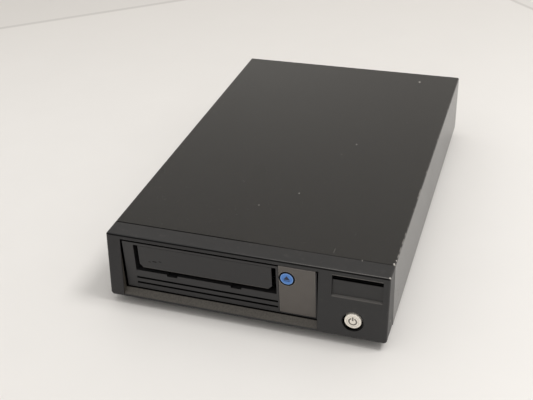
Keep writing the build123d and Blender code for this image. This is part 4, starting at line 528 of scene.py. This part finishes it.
drive_low, drive_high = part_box("drive_bezel")
badge_low, badge_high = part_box("badge_plate")
power_low, power_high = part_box("power_button")
top_front = bezel_low.y + BEZEL_LEAN
face_slope = BEZEL_LEAN / (bezel_high.z - bezel_low.z)
BEZEL_CHIPS = [
    ((bezel_high.x - 0.0006, bezel_low.y + 0.0075, bezel_high.z - 0.0004), 0.0010),
    ((bezel_low.x + 0.190, bezel_low.y + 0.0215, bezel_high.z), 0.0005),
    ((bezel_high.x, bezel_low.y + 0.0105, bezel_low.z + 0.0130), 0.0009),
]


def from_axis(place, low, high):
    """Sideways and upward distance from the middle of a button, and how far out."""
    across = part(place, "X") - (low.x + high.x) / 2
    up = part(place, "Z") - (low.z + high.z) / 2
    square = across * across + up * up
    return across, up, square.math("SQRT", square)


def band(value, low, high, soft):
    """1 from low to high, fading over soft beyond each end."""
    return rise(value, low - soft, low) * fall(value, high, high + soft)


def line_at(value, middle, core, reach):
    """1 within core of the middle, and 0 past reach."""
    return fall(abs(value - middle), core, reach)


def stroke(distance, half_width):
    """1 within half a line's width, with a soft edge."""
    return line_at(distance, 0.0, half_width - SIGN_SOFT, half_width + SIGN_SOFT)


def edge_highlight(x, y, z, fine):
    """Painted highlight along the upper front edge, stronger towards the right."""
    back, down = y - (top_front + HIGHLIGHT_BACK), z - (bezel_high.z - HIGHLIGHT_DOWN)
    line = fall(back * back + down * down, HIGHLIGHT_CORE ** 2, HIGHLIGHT_REACH ** 2)
    along = rise(x, bezel_low.x + HIGHLIGHT_ALONG[0], bezel_low.x + HIGHLIGHT_ALONG[1])
    return line * along * (0.25 + 0.55 * rise(fine, 0.3, 0.6))


def badge_highlights(x, z, behind):
    """Painted highlights on the rims of the badge's place: over it, on its ledge and at its left.
    """
    across = band(x, badge_low.x, badge_high.x, SOFT)
    over = across * line_at(z, bezel_high.z - BROW, *BROW_LINE) * fall(behind, *BROW_BEHIND)
    ledge = across * fall(z, badge_low.z + LEDGE_FADE[0], badge_low.z + LEDGE_FADE[1])
    ledge = ledge * rise(z, badge_low.z - LEDGE_TALL, badge_low.z - LEDGE_TALL + LEDGE_SOFT)
    beside = line_at(x, badge_low.x - BESIDE_PLATE, *BESIDE_LINE)
    beside = beside * rise(behind, *BESIDE_BEHIND)
    beside = beside * band(z, badge_low.z + SOFT, badge_high.z, SOFT)
    return (over * 0.8) | (ledge * 0.45) | (beside * 0.15)


def power_collar(place):
    """The power button's collar: a painted highlight arc above it and a painted shade crescent
    below.
    """
    across, up, reach = from_axis(place, power_low, power_high)
    arc = stroke(reach - COLLAR_RADIUS, COLLAR_LINE) * rise(up - across, *ARC_FADE)
    across, up = across + CRESCENT_LEFT, up + CRESCENT_DOWN
    square = across * across + up * up
    return arc * 0.75, fall(square, CRESCENT_RADIUS ** 2, (CRESCENT_RADIUS + SOFT) ** 2)


def spark_texture(place):
    fine = grain(place, SPARK_SIZE, 3.0)
    cloud = grain(place, 0.03)
    rubbed = rise(grain(place, RUB_PATCH, 5.0), 0.55, 0.8)
    mark = chips(place, fine, BEZEL_CHIPS)
    x, y, z = (part(place, axis) for axis in "XYZ")
    behind = y - top_front + (bezel_high.z - z) * face_slope
    facing = fall(behind, *FACE_TURN)
    # Painted light: the front face is painted lighter towards the right, for the light from that
    # side.
    face = blend(rise(x, bezel_low.x, bezel_high.x - FACE_EVEN), FACE_SHADED_LEFT, FACE_LIT_RIGHT)
    plain = blend(0.4 * rubbed, blend(facing, LIP_BLACK, face), RUBBED_BLACK)
    # The sill inside the opening is painted paler: dust, with a painted sheen of the light it
    # faces.
    inside = band(x, drive_low.x - OPENING_LEFT, drive_high.x + OPENING_RIGHT, SOFT)
    inside = inside * rise(behind, *OPENING_BEHIND) * fall(z, drive_high.z, drive_high.z + SOFT)
    grit = rise(grain(place, SILL_GRIT, 4.0), 0.35, 0.65)
    dust_and_sheen = inside * (0.60 + 0.2 * cloud + 0.35 * grit)
    colour = blend(edge_highlight(x, y, z, fine), blend(dust_and_sheen, plain, SILL_DUST_AND_SHEEN), PAINTED_HIGHLIGHT)
    arc, crescent = power_collar(place)
    colour = blend(badge_highlights(x, z, behind) | arc, colour, PAINTED_HIGHLIGHT)
    # Painted shade: black under the upper front edge, along the seam, at the back of the sill and
    # in the crescent under the power button, with Metallic so that it reflects nothing.
    under_edge = line_at(z, bezel_high.z - EDGE_SHADE_DOWN, *EDGE_SHADE_LINE)
    under_edge = under_edge * fall(behind, *EDGE_SHADE_BEHIND)
    seam = top_front + LIP_DEPTH
    at_seam = rise(y, seam - SEAM_SHADE_WIDTH, seam - SEAM_SHADE_WIDTH * 0.3) * seam_shade_fading(x)
    sill_back = inside * rise(y, drive_low.y - SILL_SHADE, drive_low.y - SILL_SHADE * 0.4)
    shaded = at_seam | sill_back | (under_edge * 0.75) | crescent
    return {
        "Base Color": blend(shaded, blend(mark, colour, CHIPPED), SHADE_AND_SMEAR_BLACK),
        "Metallic": shaded,
        "Roughness": 0.42 + 0.08 * cloud - 0.08 * rubbed,
        "Normal": relief(fine, SPARK_DEPTH),
    }


dress(finish("spark_texture", spark_texture), "front_bezel")


# ---- Blank badge plate ----
# A bare satin black plate, stuck down in its sunk place. Its upper end is painted
# black as painted shade from the slot over it.
PLATE_DARK = (0.0165, 0.0160, 0.0160, 1.0)
PLATE_LIGHT = (0.0215, 0.0210, 0.0210, 1.0)
PLATE_THICK = 0.00015
PLATE_REACH = 0.00028
SLOT_SHADE = (0.0012, 0.0007)


def satin_plate(place):
    fine = grain(place, 0.0008, 3.0)
    cloud = grain(place, 0.01)
    # Painted shade: the plate's upper end is black, with Metallic so that it reflects nothing.
    shade_low, shade_high = (badge_high.z - down for down in SLOT_SHADE)
    under_slot = rise(part(place, "Z"), shade_low, shade_high)
    return {
        "Base Color": blend(under_slot, blend(cloud, PLATE_DARK, PLATE_LIGHT), SHADE_AND_SMEAR_BLACK),
        "Metallic": under_slot,
        "Roughness": 0.36 + 0.1 * fine,
        "Normal": relief(fine, 0.000006),
    }


plate = bmesh.new()
made = bmesh.ops.create_cube(plate, size=1.0)
for corner in made["verts"]:
    x = badge_high.x + PLATE_REACH if corner.co.x > 0 else badge_low.x - PLATE_REACH
    z = badge_high.z + PLATE_REACH if corner.co.z > 0 else badge_low.z - PLATE_REACH
    seat = badge_high.y - (badge_high.z - z) * face_slope
    corner.co = (x, seat if corner.co.y > 0 else seat - PLATE_THICK, z)
bmesh.ops.bevel(plate, geom=plate.edges, offset=PLATE_THICK * 0.4, segments=2, affect="EDGES")
plate_mesh = bpy.data.meshes.new("badge_plate")
plate.to_mesh(plate_mesh)
plate.free()
bare_plate = piece("bare_plate", plate_mesh, finish("satin_plate", satin_plate), "case")
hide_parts("badge_plate")


# ---- Power button ----
# An ivory cap turned with fine rings, its on-off sign engraved and filled grey.
# It slides in the collar of the front bezel.
POWER_IVORY = (0.99, 0.93, 0.83, 1.0)
POWER_SIGN = (0.055, 0.045, 0.038, 1.0)
SIGN_RADIUS = 0.0027
SIGN_LINE = 0.0005
SIGN_GAP = 0.0011
RIM_RADIUS = 0.0043
RIM_LINE = 0.0002
RING_PITCH = 0.0011
RING_SHARE = 0.12
POWER_CUT = 0.00015


def ring_cut(reach, pitch):
    """Fine turned rings, from 0 to 1, from the distance to the axis."""
    turn = reach * (2 * math.pi / pitch)
    return 0.5 + 0.5 * turn.math("SINE", turn)


def engraved_ivory(place):
    across, up, reach = from_axis(place, power_low, power_high)
    ring = stroke(reach - SIGN_RADIUS, SIGN_LINE)
    gap = stroke(across, SIGN_GAP) * rise(up, -SIGN_SOFT, SIGN_SOFT)
    bar = stroke(across, SIGN_LINE) * stroke(up - SIGN_RADIUS * 0.82, SIGN_RADIUS * 0.6)
    sign = (ring * (1.0 - gap)) | bar
    fine = grain(place, 0.0012, 4.0)
    marked = (sign * (0.75 + 0.25 * fine)) | (stroke(reach - RIM_RADIUS, RIM_LINE) * 0.3)
    return {
        "Base Color": blend(marked, POWER_IVORY, POWER_SIGN),
        "Roughness": 0.34 + 0.1 * fine,
        "Normal": relief(RING_SHARE * ring_cut(reach, RING_PITCH) - sign, POWER_CUT),
    }


dress(finish("engraved_ivory", engraved_ivory), "power_button")


# ---- Power button's spring ----
# A return spring wound from drawn steel wire. It stands between the cap and the
# switch.
WIRE = 0.0004
TURNS = 7
STEPS_A_TURN = 20
WIRE_DARK = (0.42, 0.42, 0.43, 1.0)
WIRE_BRIGHT = (0.55, 0.55, 0.56, 1.0)
spring_low, spring_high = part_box("power_spring")


def coil(name, start, end, radius, wire, turns):
    """A round wire wound about the line from start to end."""
    along = end - start
    side = along.orthogonal().normalized()
    up = along.normalized().cross(side)
    curve = bpy.data.curves.new(name, "CURVE")
    curve.dimensions = "3D"
    curve.bevel_depth = wire
    curve.bevel_resolution = 3
    line = curve.splines.new("POLY")
    count = turns * STEPS_A_TURN
    line.points.add(count)
    for i in range(count + 1):
        turn = 2 * math.pi * i / STEPS_A_TURN
        at = start + along * (i / count) + radius * (math.cos(turn) * side + math.sin(turn) * up)
        line.points[i].co = (*at, 1.0)
    bent = bpy.data.objects.new(name, curve)
    bpy.context.scene.collection.objects.link(bent)
    seen = bent.evaluated_get(bpy.context.evaluated_depsgraph_get())
    mesh = bpy.data.meshes.new_from_object(seen)
    bpy.data.objects.remove(bent)
    for face in mesh.polygons:
        face.use_smooth = True
    return mesh


def drawn_wire(place):
    streak = grain(place, 0.0005, 4.0)
    return {
        "Base Color": blend(streak, WIRE_DARK, WIRE_BRIGHT),
        "Metallic": 1.0,
        "Roughness": 0.25 + 0.2 * streak,
        "Normal": relief(streak, 0.000004),
    }


wire_steel = finish("drawn_wire", drawn_wire)
middle = (spring_low + spring_high) / 2
start = Vector((middle.x, spring_low.y + WIRE, middle.z))
end = Vector((middle.x, spring_high.y - WIRE, middle.z))
wound = coil("return_spring", start, end, (spring_high.x - spring_low.x) / 2 - WIRE, WIRE, TURNS)
spring = piece("return_spring", wound, wire_steel, "case")
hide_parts("power_spring")
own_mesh(spring)


# ---- Switches and circuit boards ----
# Black nylon mouldings, which the fan and the inlet share, and green boards whose
# tracks show as raised lines under the lacquer.
NYLON_DARK = (0.016, 0.016, 0.017, 1.0)
NYLON_LIGHT = (0.026, 0.026, 0.027, 1.0)
LACQUER = (0.012, 0.075, 0.028, 1.0)
LACQUERED_TRACK = (0.022, 0.13, 0.045, 1.0)
SOLDER = (0.55, 0.52, 0.46, 1.0)
TRACKS = {"Scale": 90.0, "Mortar Size": 0.12, "Brick Width": 1.1, "Row Height": 0.16}
PADS_A_METRE = 260.0


def black_nylon(place):
    fine = grain(place, 0.0005, 3.0)
    return {
        "Base Color": blend(fine, NYLON_DARK, NYLON_LIGHT),
        "Roughness": 0.45 + 0.12 * fine,
        "Normal": relief(fine, 0.00001),
    }


def lacquered_board(place):
    tracks = 1.0 - place.node("TexBrick", {"offset": 0.37}, {"Vector": place, **TRACKS}, "Fac")
    spots = {"Vector": place, "Scale": PADS_A_METRE}
    pad = fall(place.node("TexVoronoi", {"feature": "F1"}, spots, "Distance"), 0.13, 0.2)
    return {
        "Base Color": blend(pad, blend(tracks * 0.7, LACQUER, LACQUERED_TRACK), SOLDER),
        "Metallic": pad,
        "Roughness": 0.28 + 0.1 * tracks,
        "Normal": relief(tracks + pad, 0.00003),
    }


nylon = finish("black_nylon", black_nylon)
dress(nylon, "power_switch", "eject_switch", "drive_connector")
dress(nylon, "fan_housing", "fan_rotor", "power_inlet")
boards = ("power_switch_board", "front_board", "logic_board", "port_board", "supply_board")
dress(finish("lacquered_board", lacquered_board), *boards)


# ---- Drive's bezel and door ----
# Smooth dark mouldings, with painted shade along the bezel's foot and head and in
# its rib grooves. The door is polished a little by cartridges, with fine scratches
# across it and a painted highlight along its bottom edge.
DRIVE_BLACK = (0.0175, 0.0168, 0.0176, 1.0)
DRIVE_CLOUDED = (0.0235, 0.0227, 0.0235, 1.0)
DOOR_SCRATCH_AND_HIGHLIGHT = (0.075, 0.070, 0.064, 1.0)
RIB_TOPS = (0.0103, 0.0055)
RIBS_FROM = 0.0087
RIBS_TO = 0.1197
GROOVE_DOWN = 0.0005
GROOVE_LINE = (0.0007, 0.0011)
FOOT_SHADE = (0.0002, 0.0006)
HEAD_SHADE = (0.0009, 0.0004)
SMEAR_ALONG_DOOR = (0.25, 1.0, 1.0)
SCRATCH_ALONG_DOOR = (0.05, 1.0, 1.0)
DOOR_EDGE = (0.0003, 0.0009)
DOOR_RAGGED = 0.0003
door_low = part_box("cartridge_door")[0]
DOOR_SMEARS = [
    ((door_low.x + 0.0125, door_low.y, door_low.z + 0.0068), 0.0006),
    ((door_low.x + 0.0170, door_low.y, door_low.z + 0.0075), 0.0004),
    ((door_low.x + 0.0085, door_low.y, door_low.z + 0.0060), 0.0004),
]


def moulded_face(place):
    fine = grain(place, 0.0006, 3.0)
    cloud = grain(place, 0.02)
    x, z = part(place, "X"), part(place, "Z")
    across = band(x, drive_low.x + RIBS_FROM, drive_low.x + RIBS_TO, SOFT)
    # Painted shade: black along the bezel's foot and head and in the rib grooves, with Metallic so
    # that it reflects nothing.
    foot = fall(z, drive_low.z + FOOT_SHADE[0], drive_low.z + FOOT_SHADE[1])
    head = rise(z, drive_high.z - HEAD_SHADE[0], drive_high.z - HEAD_SHADE[1])
    shaded = foot | head
    for top in RIB_TOPS:
        groove = line_at(z, drive_low.z + top - GROOVE_DOWN, *GROOVE_LINE)
        shaded = shaded | (groove * across)
    return {
        "Base Color": blend(shaded, blend(cloud, DRIVE_BLACK, DRIVE_CLOUDED), SHADE_AND_SMEAR_BLACK),
        "Metallic": shaded,
        "Roughness": 0.38 + 0.1 * fine,
        "Normal": relief(fine, 0.000007),
    }


def scratched_face(place):
    fine = grain(place, 0.0006, 3.0)
    flat = place.node("Mapping", {}, {"Vector": place, "Scale": SCRATCH_ALONG_DOOR})
    scratch = rise(grain(flat, 0.0004, 2.0), 0.66, 0.74)
    dark = 0.7 * long_marks(place, fine, SMEAR_ALONG_DOOR, DOOR_SMEARS)
    # The door's bottom edge is a painted highlight; it is mixed with the real fine scratches into
    # the paler colour.
    edge_low, edge_high = (door_low.z + up for up in DOOR_EDGE)
    edge = fall(part(place, "Z") + DOOR_RAGGED * fine, edge_low, edge_high)
    rubbed = (0.25 * scratch) | edge
    return {
        "Base Color": blend(dark, blend(rubbed, DRIVE_BLACK, DOOR_SCRATCH_AND_HIGHLIGHT), SHADE_AND_SMEAR_BLACK),
        "Metallic": dark,
        "Roughness": 0.34 + 0.08 * fine + 0.1 * scratch,
        "Normal": relief(fine - 0.6 * scratch, 0.000007),
    }


dress(finish("moulded_face", moulded_face), "drive_bezel")
dress(finish("scratched_face", scratched_face), "cartridge_door")
dress(zinc, "door_hinge_pin")


# ---- Status panel ----
# A warm grey moulding let into the drive's bezel, with a round window for the
# eject button. Its thin edges and the window's rim carry a painted highlight, and
# the window is painted black for the shade in it.
PANEL_DARK = (0.100, 0.089, 0.079, 1.0)
PANEL_LIGHT = (0.118, 0.105, 0.094, 1.0)
PANEL_HIGHLIGHT = (0.23, 0.21, 0.20, 1.0)
WINDOW_RADIUS = 0.0059
WINDOW_RIM = 0.0004
PANEL_RIM = (0.0002, 0.0005)
status_low, status_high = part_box("status_panel")
eject_low, eject_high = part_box("eject_button")


def warm_grey(place):
    fine = grain(place, 0.0005, 3.0)
    cloud = grain(place, 0.008)
    x, z = part(place, "X"), part(place, "Z")
    sides = (x - status_low.x) & (status_high.x - x)
    ends = (z - status_low.z) & (status_high.z - z)
    # Painted highlight on the panel's thin edges and round the window's rim; painted shade fills
    # the window in black.
    edge = fall(sides & ends, *PANEL_RIM)
    reach = from_axis(place, eject_low, eject_high)[2]
    window = fall(reach, WINDOW_RADIUS - 0.00002, WINDOW_RADIUS + 0.0001)
    rim = stroke(reach - WINDOW_RADIUS - WINDOW_RIM, RIM_LINE) * rise(fine, 0.35, 0.6)
    plain = blend(cloud, PANEL_DARK, PANEL_LIGHT)
    plain = blend((edge * 0.6) | (rim * 0.5), plain, PANEL_HIGHLIGHT)
    return {
        "Base Color": blend(window, plain, SHADE_AND_SMEAR_BLACK),
        "Metallic": window,
        "Roughness": 0.42 + 0.1 * fine,
        "Normal": relief(fine, 0.000008),
    }


dress(finish("warm_grey", warm_grey), "status_panel")


# ---- Eject button ----
# A blue cap turned with fine rings. Its triangle over a bar is engraved and filled
# dark, and the cap slides in the status panel's window.
EJECT_BLUE = (0.075, 0.235, 0.640, 1.0)
EJECT_RIM = (0.21, 0.40, 0.78, 1.0)
EJECT_SIGN_AND_SHADE = (0.008, 0.014, 0.040, 1.0)
EJECT_RADIUS = 0.0049
TRIANGLE_TOP = 0.0025
TRIANGLE_FOOT = -0.0008
TRIANGLE_SLOPE = 1.35
BAR_AT = -0.0017
BAR_HALF_LENGTH = 0.0022
BAR_HALF_WIDTH = 0.00028
EJECT_CUT = 0.00012


def engraved_blue(place):
    across, up, reach = from_axis(place, eject_low, eject_high)
    sloping = (abs(across) * TRIANGLE_SLOPE + up) - TRIANGLE_TOP
    foot = rise(up, TRIANGLE_FOOT - SIGN_SOFT, TRIANGLE_FOOT + SIGN_SOFT)
    triangle = fall(sloping, -SIGN_SOFT, SIGN_SOFT) * foot
    bar = stroke(across, BAR_HALF_LENGTH) * stroke(up - BAR_AT, BAR_HALF_WIDTH)
    sign = triangle | bar
    fine = grain(place, 0.0012, 4.0)
    rim = rise(reach, EJECT_RADIUS * 0.78, EJECT_RADIUS * 0.88)
    # Painted shade: the cap's outermost edge is painted dark, like the sign.
    cap_edge_shade = rise(reach, EJECT_RADIUS * 0.95, EJECT_RADIUS * 0.98)
    return {
        "Base Color": blend(cap_edge_shade | sign, blend(rim * 0.7, EJECT_BLUE, EJECT_RIM), EJECT_SIGN_AND_SHADE),
        "Roughness": 0.32 + 0.1 * fine,
        "Normal": relief(RING_SHARE * ring_cut(reach, RING_PITCH) - sign, EJECT_CUT),
    }


dress(finish("engraved_blue", engraved_blue), "eject_button")


# ---- Chassis, head carriage, supply bracket and heat sinks ----
# Die-cast aluminium, left as cast: pale grey, faintly mottled, with a dull skin.
# The heat sinks are extruded, with the same dull skin.
CAST_DARK = (0.40, 0.41, 0.42, 1.0)
CAST_PALE = (0.52, 0.53, 0.54, 1.0)


def cast_skin(place):
    skin = grain(place, 0.0007, 5.0)
    flow = grain(place, 0.018, 3.0)
    return {
        "Base Color": blend(flow, CAST_DARK, CAST_PALE),
        "Metallic": 0.85,
        "Roughness": 0.42 + 0.2 * skin,
        "Normal": relief(skin, 0.00002),
    }


cast = finish("cast_skin", cast_skin)
dress(cast, "drive_chassis", "head_base", "head_carriage", "supply_bracket", "supply_heatsinks")


# ---- Lid, brackets, sockets, rollers and loader ----
# Folded zinc-plated sheet with the faint lines of rolling along it. The flanged
# rollers and their axles are turned steel, with the same bright skin.
SHEET_DULL = (0.50, 0.50, 0.51, 1.0)
SHEET_BRIGHT = (0.63, 0.63, 0.64, 1.0)


def rolled_sheet(place):
    long = place.node("Mapping", {}, {"Vector": place, "Scale": (1.0, 0.03, 1.0)})
    lines = grain(long, 0.0005, 3.0)
    bloom = grain(place, 0.02, 4.0)
    return {
        "Base Color": blend(bloom, SHEET_DULL, SHEET_BRIGHT),
        "Metallic": 1.0,
        "Roughness": 0.27 + 0.16 * lines,
        "Normal": relief(lines, 0.000005),
    }


sheet = finish("rolled_sheet", rolled_sheet)
dress(sheet, "drive_lid", "drive_bracket_left", "drive_bracket_right", "data_ports", "roller_axles")
dress(sheet, "guide_roller_1", "guide_roller_2", "guide_roller_3", "guide_roller_4")
loader = ("cartridge_carrier", "loader_plate_left", "loader_plate_right", "loader_bridge")
dress(sheet, *loader)


# ---- Motors, reels and head ----
# Pressed steel motors with copper coils, milk-white acetal reels, and a lapped
# dark ceramic head.
COIL_OUTER = 0.020
COIL_INNER = 0.013
COIL_PITCH = 0.0004
COIL_FOOT = (0.0012, 0.0014)
STEEL = (0.36, 0.36, 0.37, 1.0)
COPPER = (0.62, 0.23, 0.08, 1.0)


def motor_finish(name, low, high):
    middle = ((low.x + high.x) / 2, (low.y + high.y) / 2, 0.0)

    def wound_stator(place):
        across = part(place, "X") - middle[0]
        along = part(place, "Y") - middle[1]
        square = across * across + along * along
        reach = square.math("SQRT", square)
        copper = band(reach, COIL_INNER, COIL_OUTER, 0.0001)
        turns = ring_cut(reach, COIL_PITCH)
        wound = copper * rise(part(place, "Z"), low.z + COIL_FOOT[0], low.z + COIL_FOOT[1])
        return {
            "Base Color": blend(wound, STEEL, COPPER),
            "Metallic": 1.0,
            "Roughness": 0.28 + 0.12 * turns,
            "Normal": relief(turns * wound, 0.00008),
        }

    return finish(name, wound_stator)


ACETAL_DARK = (0.66, 0.65, 0.61, 1.0)
ACETAL_PALE = (0.74, 0.73, 0.69, 1.0)


def milky_acetal(place):
    flow = grain(place, 0.012, 3.0)
    fine = grain(place, 0.0006, 3.0)
    return {
        "Base Color": blend(flow, ACETAL_DARK, ACETAL_PALE),
        "Roughness": 0.36 + 0.1 * fine,
        "Normal": relief(fine, 0.000006),
    }


CERAMIC_DARK = (0.055, 0.050, 0.045, 1.0)
CERAMIC_PALE = (0.075, 0.070, 0.062, 1.0)


def lapped_ceramic(place):
    fine = grain(place, 0.0003, 3.0)
    return {
        "Base Color": blend(fine, CERAMIC_DARK, CERAMIC_PALE),
        "Roughness": 0.12 + 0.08 * fine,
        "Normal": relief(fine, 0.000002),
    }


dress(motor_finish("supply_stator", *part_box("supply_motor")), "supply_motor")
dress(motor_finish("takeup_stator", *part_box("takeup_motor")), "takeup_motor")
dress(finish("milky_acetal", milky_acetal), "supply_hub", "takeup_reel")
dress(finish("lapped_ceramic", lapped_ceramic), "tape_head")


# ---- Inlet's blades ----
# Three brass blades under bright tin, slightly stained. They stand in the inlet's
# black moulding.
TIN = (0.60, 0.58, 0.53, 1.0)
STAINED_BRASS = (0.50, 0.40, 0.20, 1.0)


def tinned_brass(place):
    stain = rise(grain(place, 0.002, 4.0), 0.5, 0.75)
    return {
        "Base Color": blend(stain, TIN, STAINED_BRASS),
        "Metallic": 1.0,
        "Roughness": 0.25 + 0.2 * stain,
        "Normal": relief(stain, 0.000006),
    }


dress(finish("tinned_brass", tinned_brass), "inlet_pins")


# ---- Power supply's parts ----
# A sintered ferrite core with a taped winding, a wound choke and sleeved cans, all
# standing on the supply's board.
can_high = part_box("supply_capacitors")[1]
CAN_CROWN = (0.0004, 0.0002)
TAPE_LAP = 0.004
FERRITE_DARK = (0.030, 0.030, 0.031, 1.0)
FERRITE_PALE = (0.055, 0.054, 0.053, 1.0)


def sintered_ferrite(place):
    grit = grain(place, 0.0004, 5.0)
    return {
        "Base Color": blend(grit, FERRITE_DARK, FERRITE_PALE),
        "Roughness": 0.55 + 0.2 * grit,
        "Normal": relief(grit, 0.00003),
    }


TAPE_DARK = (0.58, 0.40, 0.05, 1.0)
TAPE_PALE = (0.66, 0.47, 0.08, 1.0)


def winding_tape(place):
    layers = 0.5 + 0.5 * place.math("SINE", part(place, "Y") * (2 * math.pi / TAPE_LAP))
    fine = grain(place, 0.0008, 3.0)
    return {
        "Base Color": blend(fine, TAPE_DARK, TAPE_PALE),
        "Roughness": 0.3 + 0.1 * fine,
        "Normal": relief(layers + 0.3 * fine, 0.00006),
    }


SLEEVE_BLUE = (0.018, 0.022, 0.045, 1.0)
CAN_TOP = (0.58, 0.58, 0.60, 1.0)


def shrink_sleeve(place):
    fine = grain(place, 0.0012, 3.0)
    height = part(place, "Z")
    crown = rise(height, can_high.z - CAN_CROWN[0], can_high.z - CAN_CROWN[1])
    return {
        "Base Color": blend(crown, SLEEVE_BLUE, CAN_TOP),
        "Metallic": crown,
        "Roughness": 0.26 + 0.1 * fine,
        "Normal": relief(fine, 0.00001),
    }


dress(finish("sintered_ferrite", sintered_ferrite), "supply_transformer")
dress(finish("winding_tape", winding_tape), "supply_winding", "supply_choke")
dress(finish("shrink_sleeve", shrink_sleeve), "supply_capacitors")


# ---- Room ----
# A pale table that curves up into a wall, under one soft lamp at the right and
# even light from the room, stronger from above and behind. Light and shade are
# also painted on the table and the wall.
FLOOR_HALF = 3.0
COVE_START = 1.9
COVE_RADIUS = 0.6
COVE_STEPS = 16
WALL_TOP = 2.6
NEAR_DARK = (0.730, 0.711, 0.687, 1.0)
NEAR_LIGHT = (0.760, 0.741, 0.716, 1.0)
NEAR_RIGHT_LIT = (0.800, 0.781, 0.760, 1.0)
FAR_SHADED_TONE = (0.610, 0.585, 0.555, 1.0)
WALL_LIGHT = (0.97, 0.955, 0.93, 1.0)
WALL_HIGH = (0.62, 0.61, 0.59, 1.0)
LINE_SHADE_TONE = (0.36, 0.34, 0.32, 1.0)
LEFT_LINE_FACING = (-0.609, 0.793)
LEFT_AT = 0.567
RIGHT_LINE_FACING = (0.700, 0.710)
RIGHT_AT = 0.4886
LEFT_END = (-1.0, -0.1)
RIGHT_END = (0.05, 0.35)
FAR_END = (0.0, 0.75)
FAR_SKEW = -0.35
FLOOR_FADES = (1.1, 1.8)
LINES_FADE = (0.9, 1.2)
WALL_FROM = (1.3, 2.3)
WALL_UP = (0.9, 2.1)


def pale_table(place):
    cloud = grain(place, 0.05, 4.0)
    speck = grain(place, 0.004, 4.0)
    x, y, z = (part(place, axis) for axis in "XYZ")
    # Painted light and shade: the table is lighter to the right and darker far off, more so to the
    # left; the wall is paler low down at the left and darker high up.
    leftward = fall(x, *LEFT_END)
    on_floor = fall(y, *FLOOR_FADES)
    far = rise(y + x * FAR_SKEW, *FAR_END) * on_floor * (0.95 + 0.3 * leftward)
    near = blend(rise(x, *RIGHT_END), blend(cloud, NEAR_DARK, NEAR_LIGHT), NEAR_RIGHT_LIT)
    tone = blend(far * 0.85, near, FAR_SHADED_TONE)
    # Painted shade: two dark lines across the far table, with darker table past them, standing for
    # shaded far edges.
    to_left_line = y * LEFT_LINE_FACING[1] + x * LEFT_LINE_FACING[0]
    to_right_line = y * RIGHT_LINE_FACING[1] + x * RIGHT_LINE_FACING[0]
    line_shade = line_at(to_left_line, LEFT_AT, 0.001, 0.007)
    line_shade = line_shade | line_at(to_right_line, RIGHT_AT, 0.001, 0.005)
    shade_beyond = rise(to_left_line, LEFT_AT, LEFT_AT + 0.008)
    shade_beyond = shade_beyond | rise(to_right_line, RIGHT_AT, RIGHT_AT + 0.0054)
    painted_line_shade = (line_shade * 0.45 | shade_beyond * 0.12) * fall(y, *LINES_FADE)
    high = rise(z, *WALL_UP)
    wall = rise(y, *WALL_FROM)
    tone = blend(wall * leftward * (1.0 - high), tone, WALL_LIGHT)
    tone = blend(wall * high * 0.35, tone, WALL_HIGH)
    return {
        "Base Color": blend(painted_line_shade, tone, LINE_SHADE_TONE),
        "Roughness": 0.55 + 0.1 * speck,
        "Normal": relief(speck, 0.00002),
    }


line = [(-FLOOR_HALF, 0.0), (COVE_START, 0.0)]
for i in range(1, COVE_STEPS + 1):
    turn = math.pi / 2 * i / COVE_STEPS
    line.append((COVE_START + COVE_RADIUS * math.sin(turn), COVE_RADIUS * (1 - math.cos(turn))))
line.append((COVE_START + COVE_RADIUS, WALL_TOP))
corners = [(x, y, z) for y, z in line for x in (-FLOOR_HALF, FLOOR_HALF)]
quads = [(2 * i, 2 * i + 1, 2 * i + 3, 2 * i + 2) for i in range(len(line) - 1)]
table_mesh = bpy.data.meshes.new("table")
table_mesh.from_pydata(corners, [], quads)
for face in table_mesh.polygons:
    face.use_smooth = True
table = bpy.data.objects.new("table", table_mesh)
table_mesh.materials.append(finish("pale_table", pale_table))
bpy.context.scene.collection.objects.link(table)

lamp_data = bpy.data.lights.new("lamp", "AREA")
lamp_data.shape = "SQUARE"
lamp_data.size = 1.05
lamp_data.energy = 54.0
lamp_data.color = (1.0, 0.99, 0.975)
lamp = bpy.data.objects.new("lamp", lamp_data)
lamp.location = (1.65, 0.35, 3.15)
lamp.rotation_euler = (Vector((0.0, 0.0, 0.0)) - lamp.location).to_track_quat("-Z", "Y").to_euler()
bpy.context.scene.collection.objects.link(lamp)

world = bpy.data.worlds.new("room")
world.use_nodes = True
world.node_tree.nodes.clear()
towards = Signal(world.node_tree).node("TexCoord", {}, {}, "Generated")
behind = rise(part(towards, "Y"), -0.1, 0.5)
ceiling = rise(part(towards, "Z"), 0.90, 0.99)
glow = 0.60 + 0.25 * behind + 1.4 * ceiling
air = towards.node("Background", {}, {"Color": (1.0, 0.985, 0.965, 1.0), "Strength": glow})
air.node("OutputWorld", {}, {"Surface": air})
bpy.context.scene.world = world
bpy.context.scene.view_settings.view_transform = "Standard"
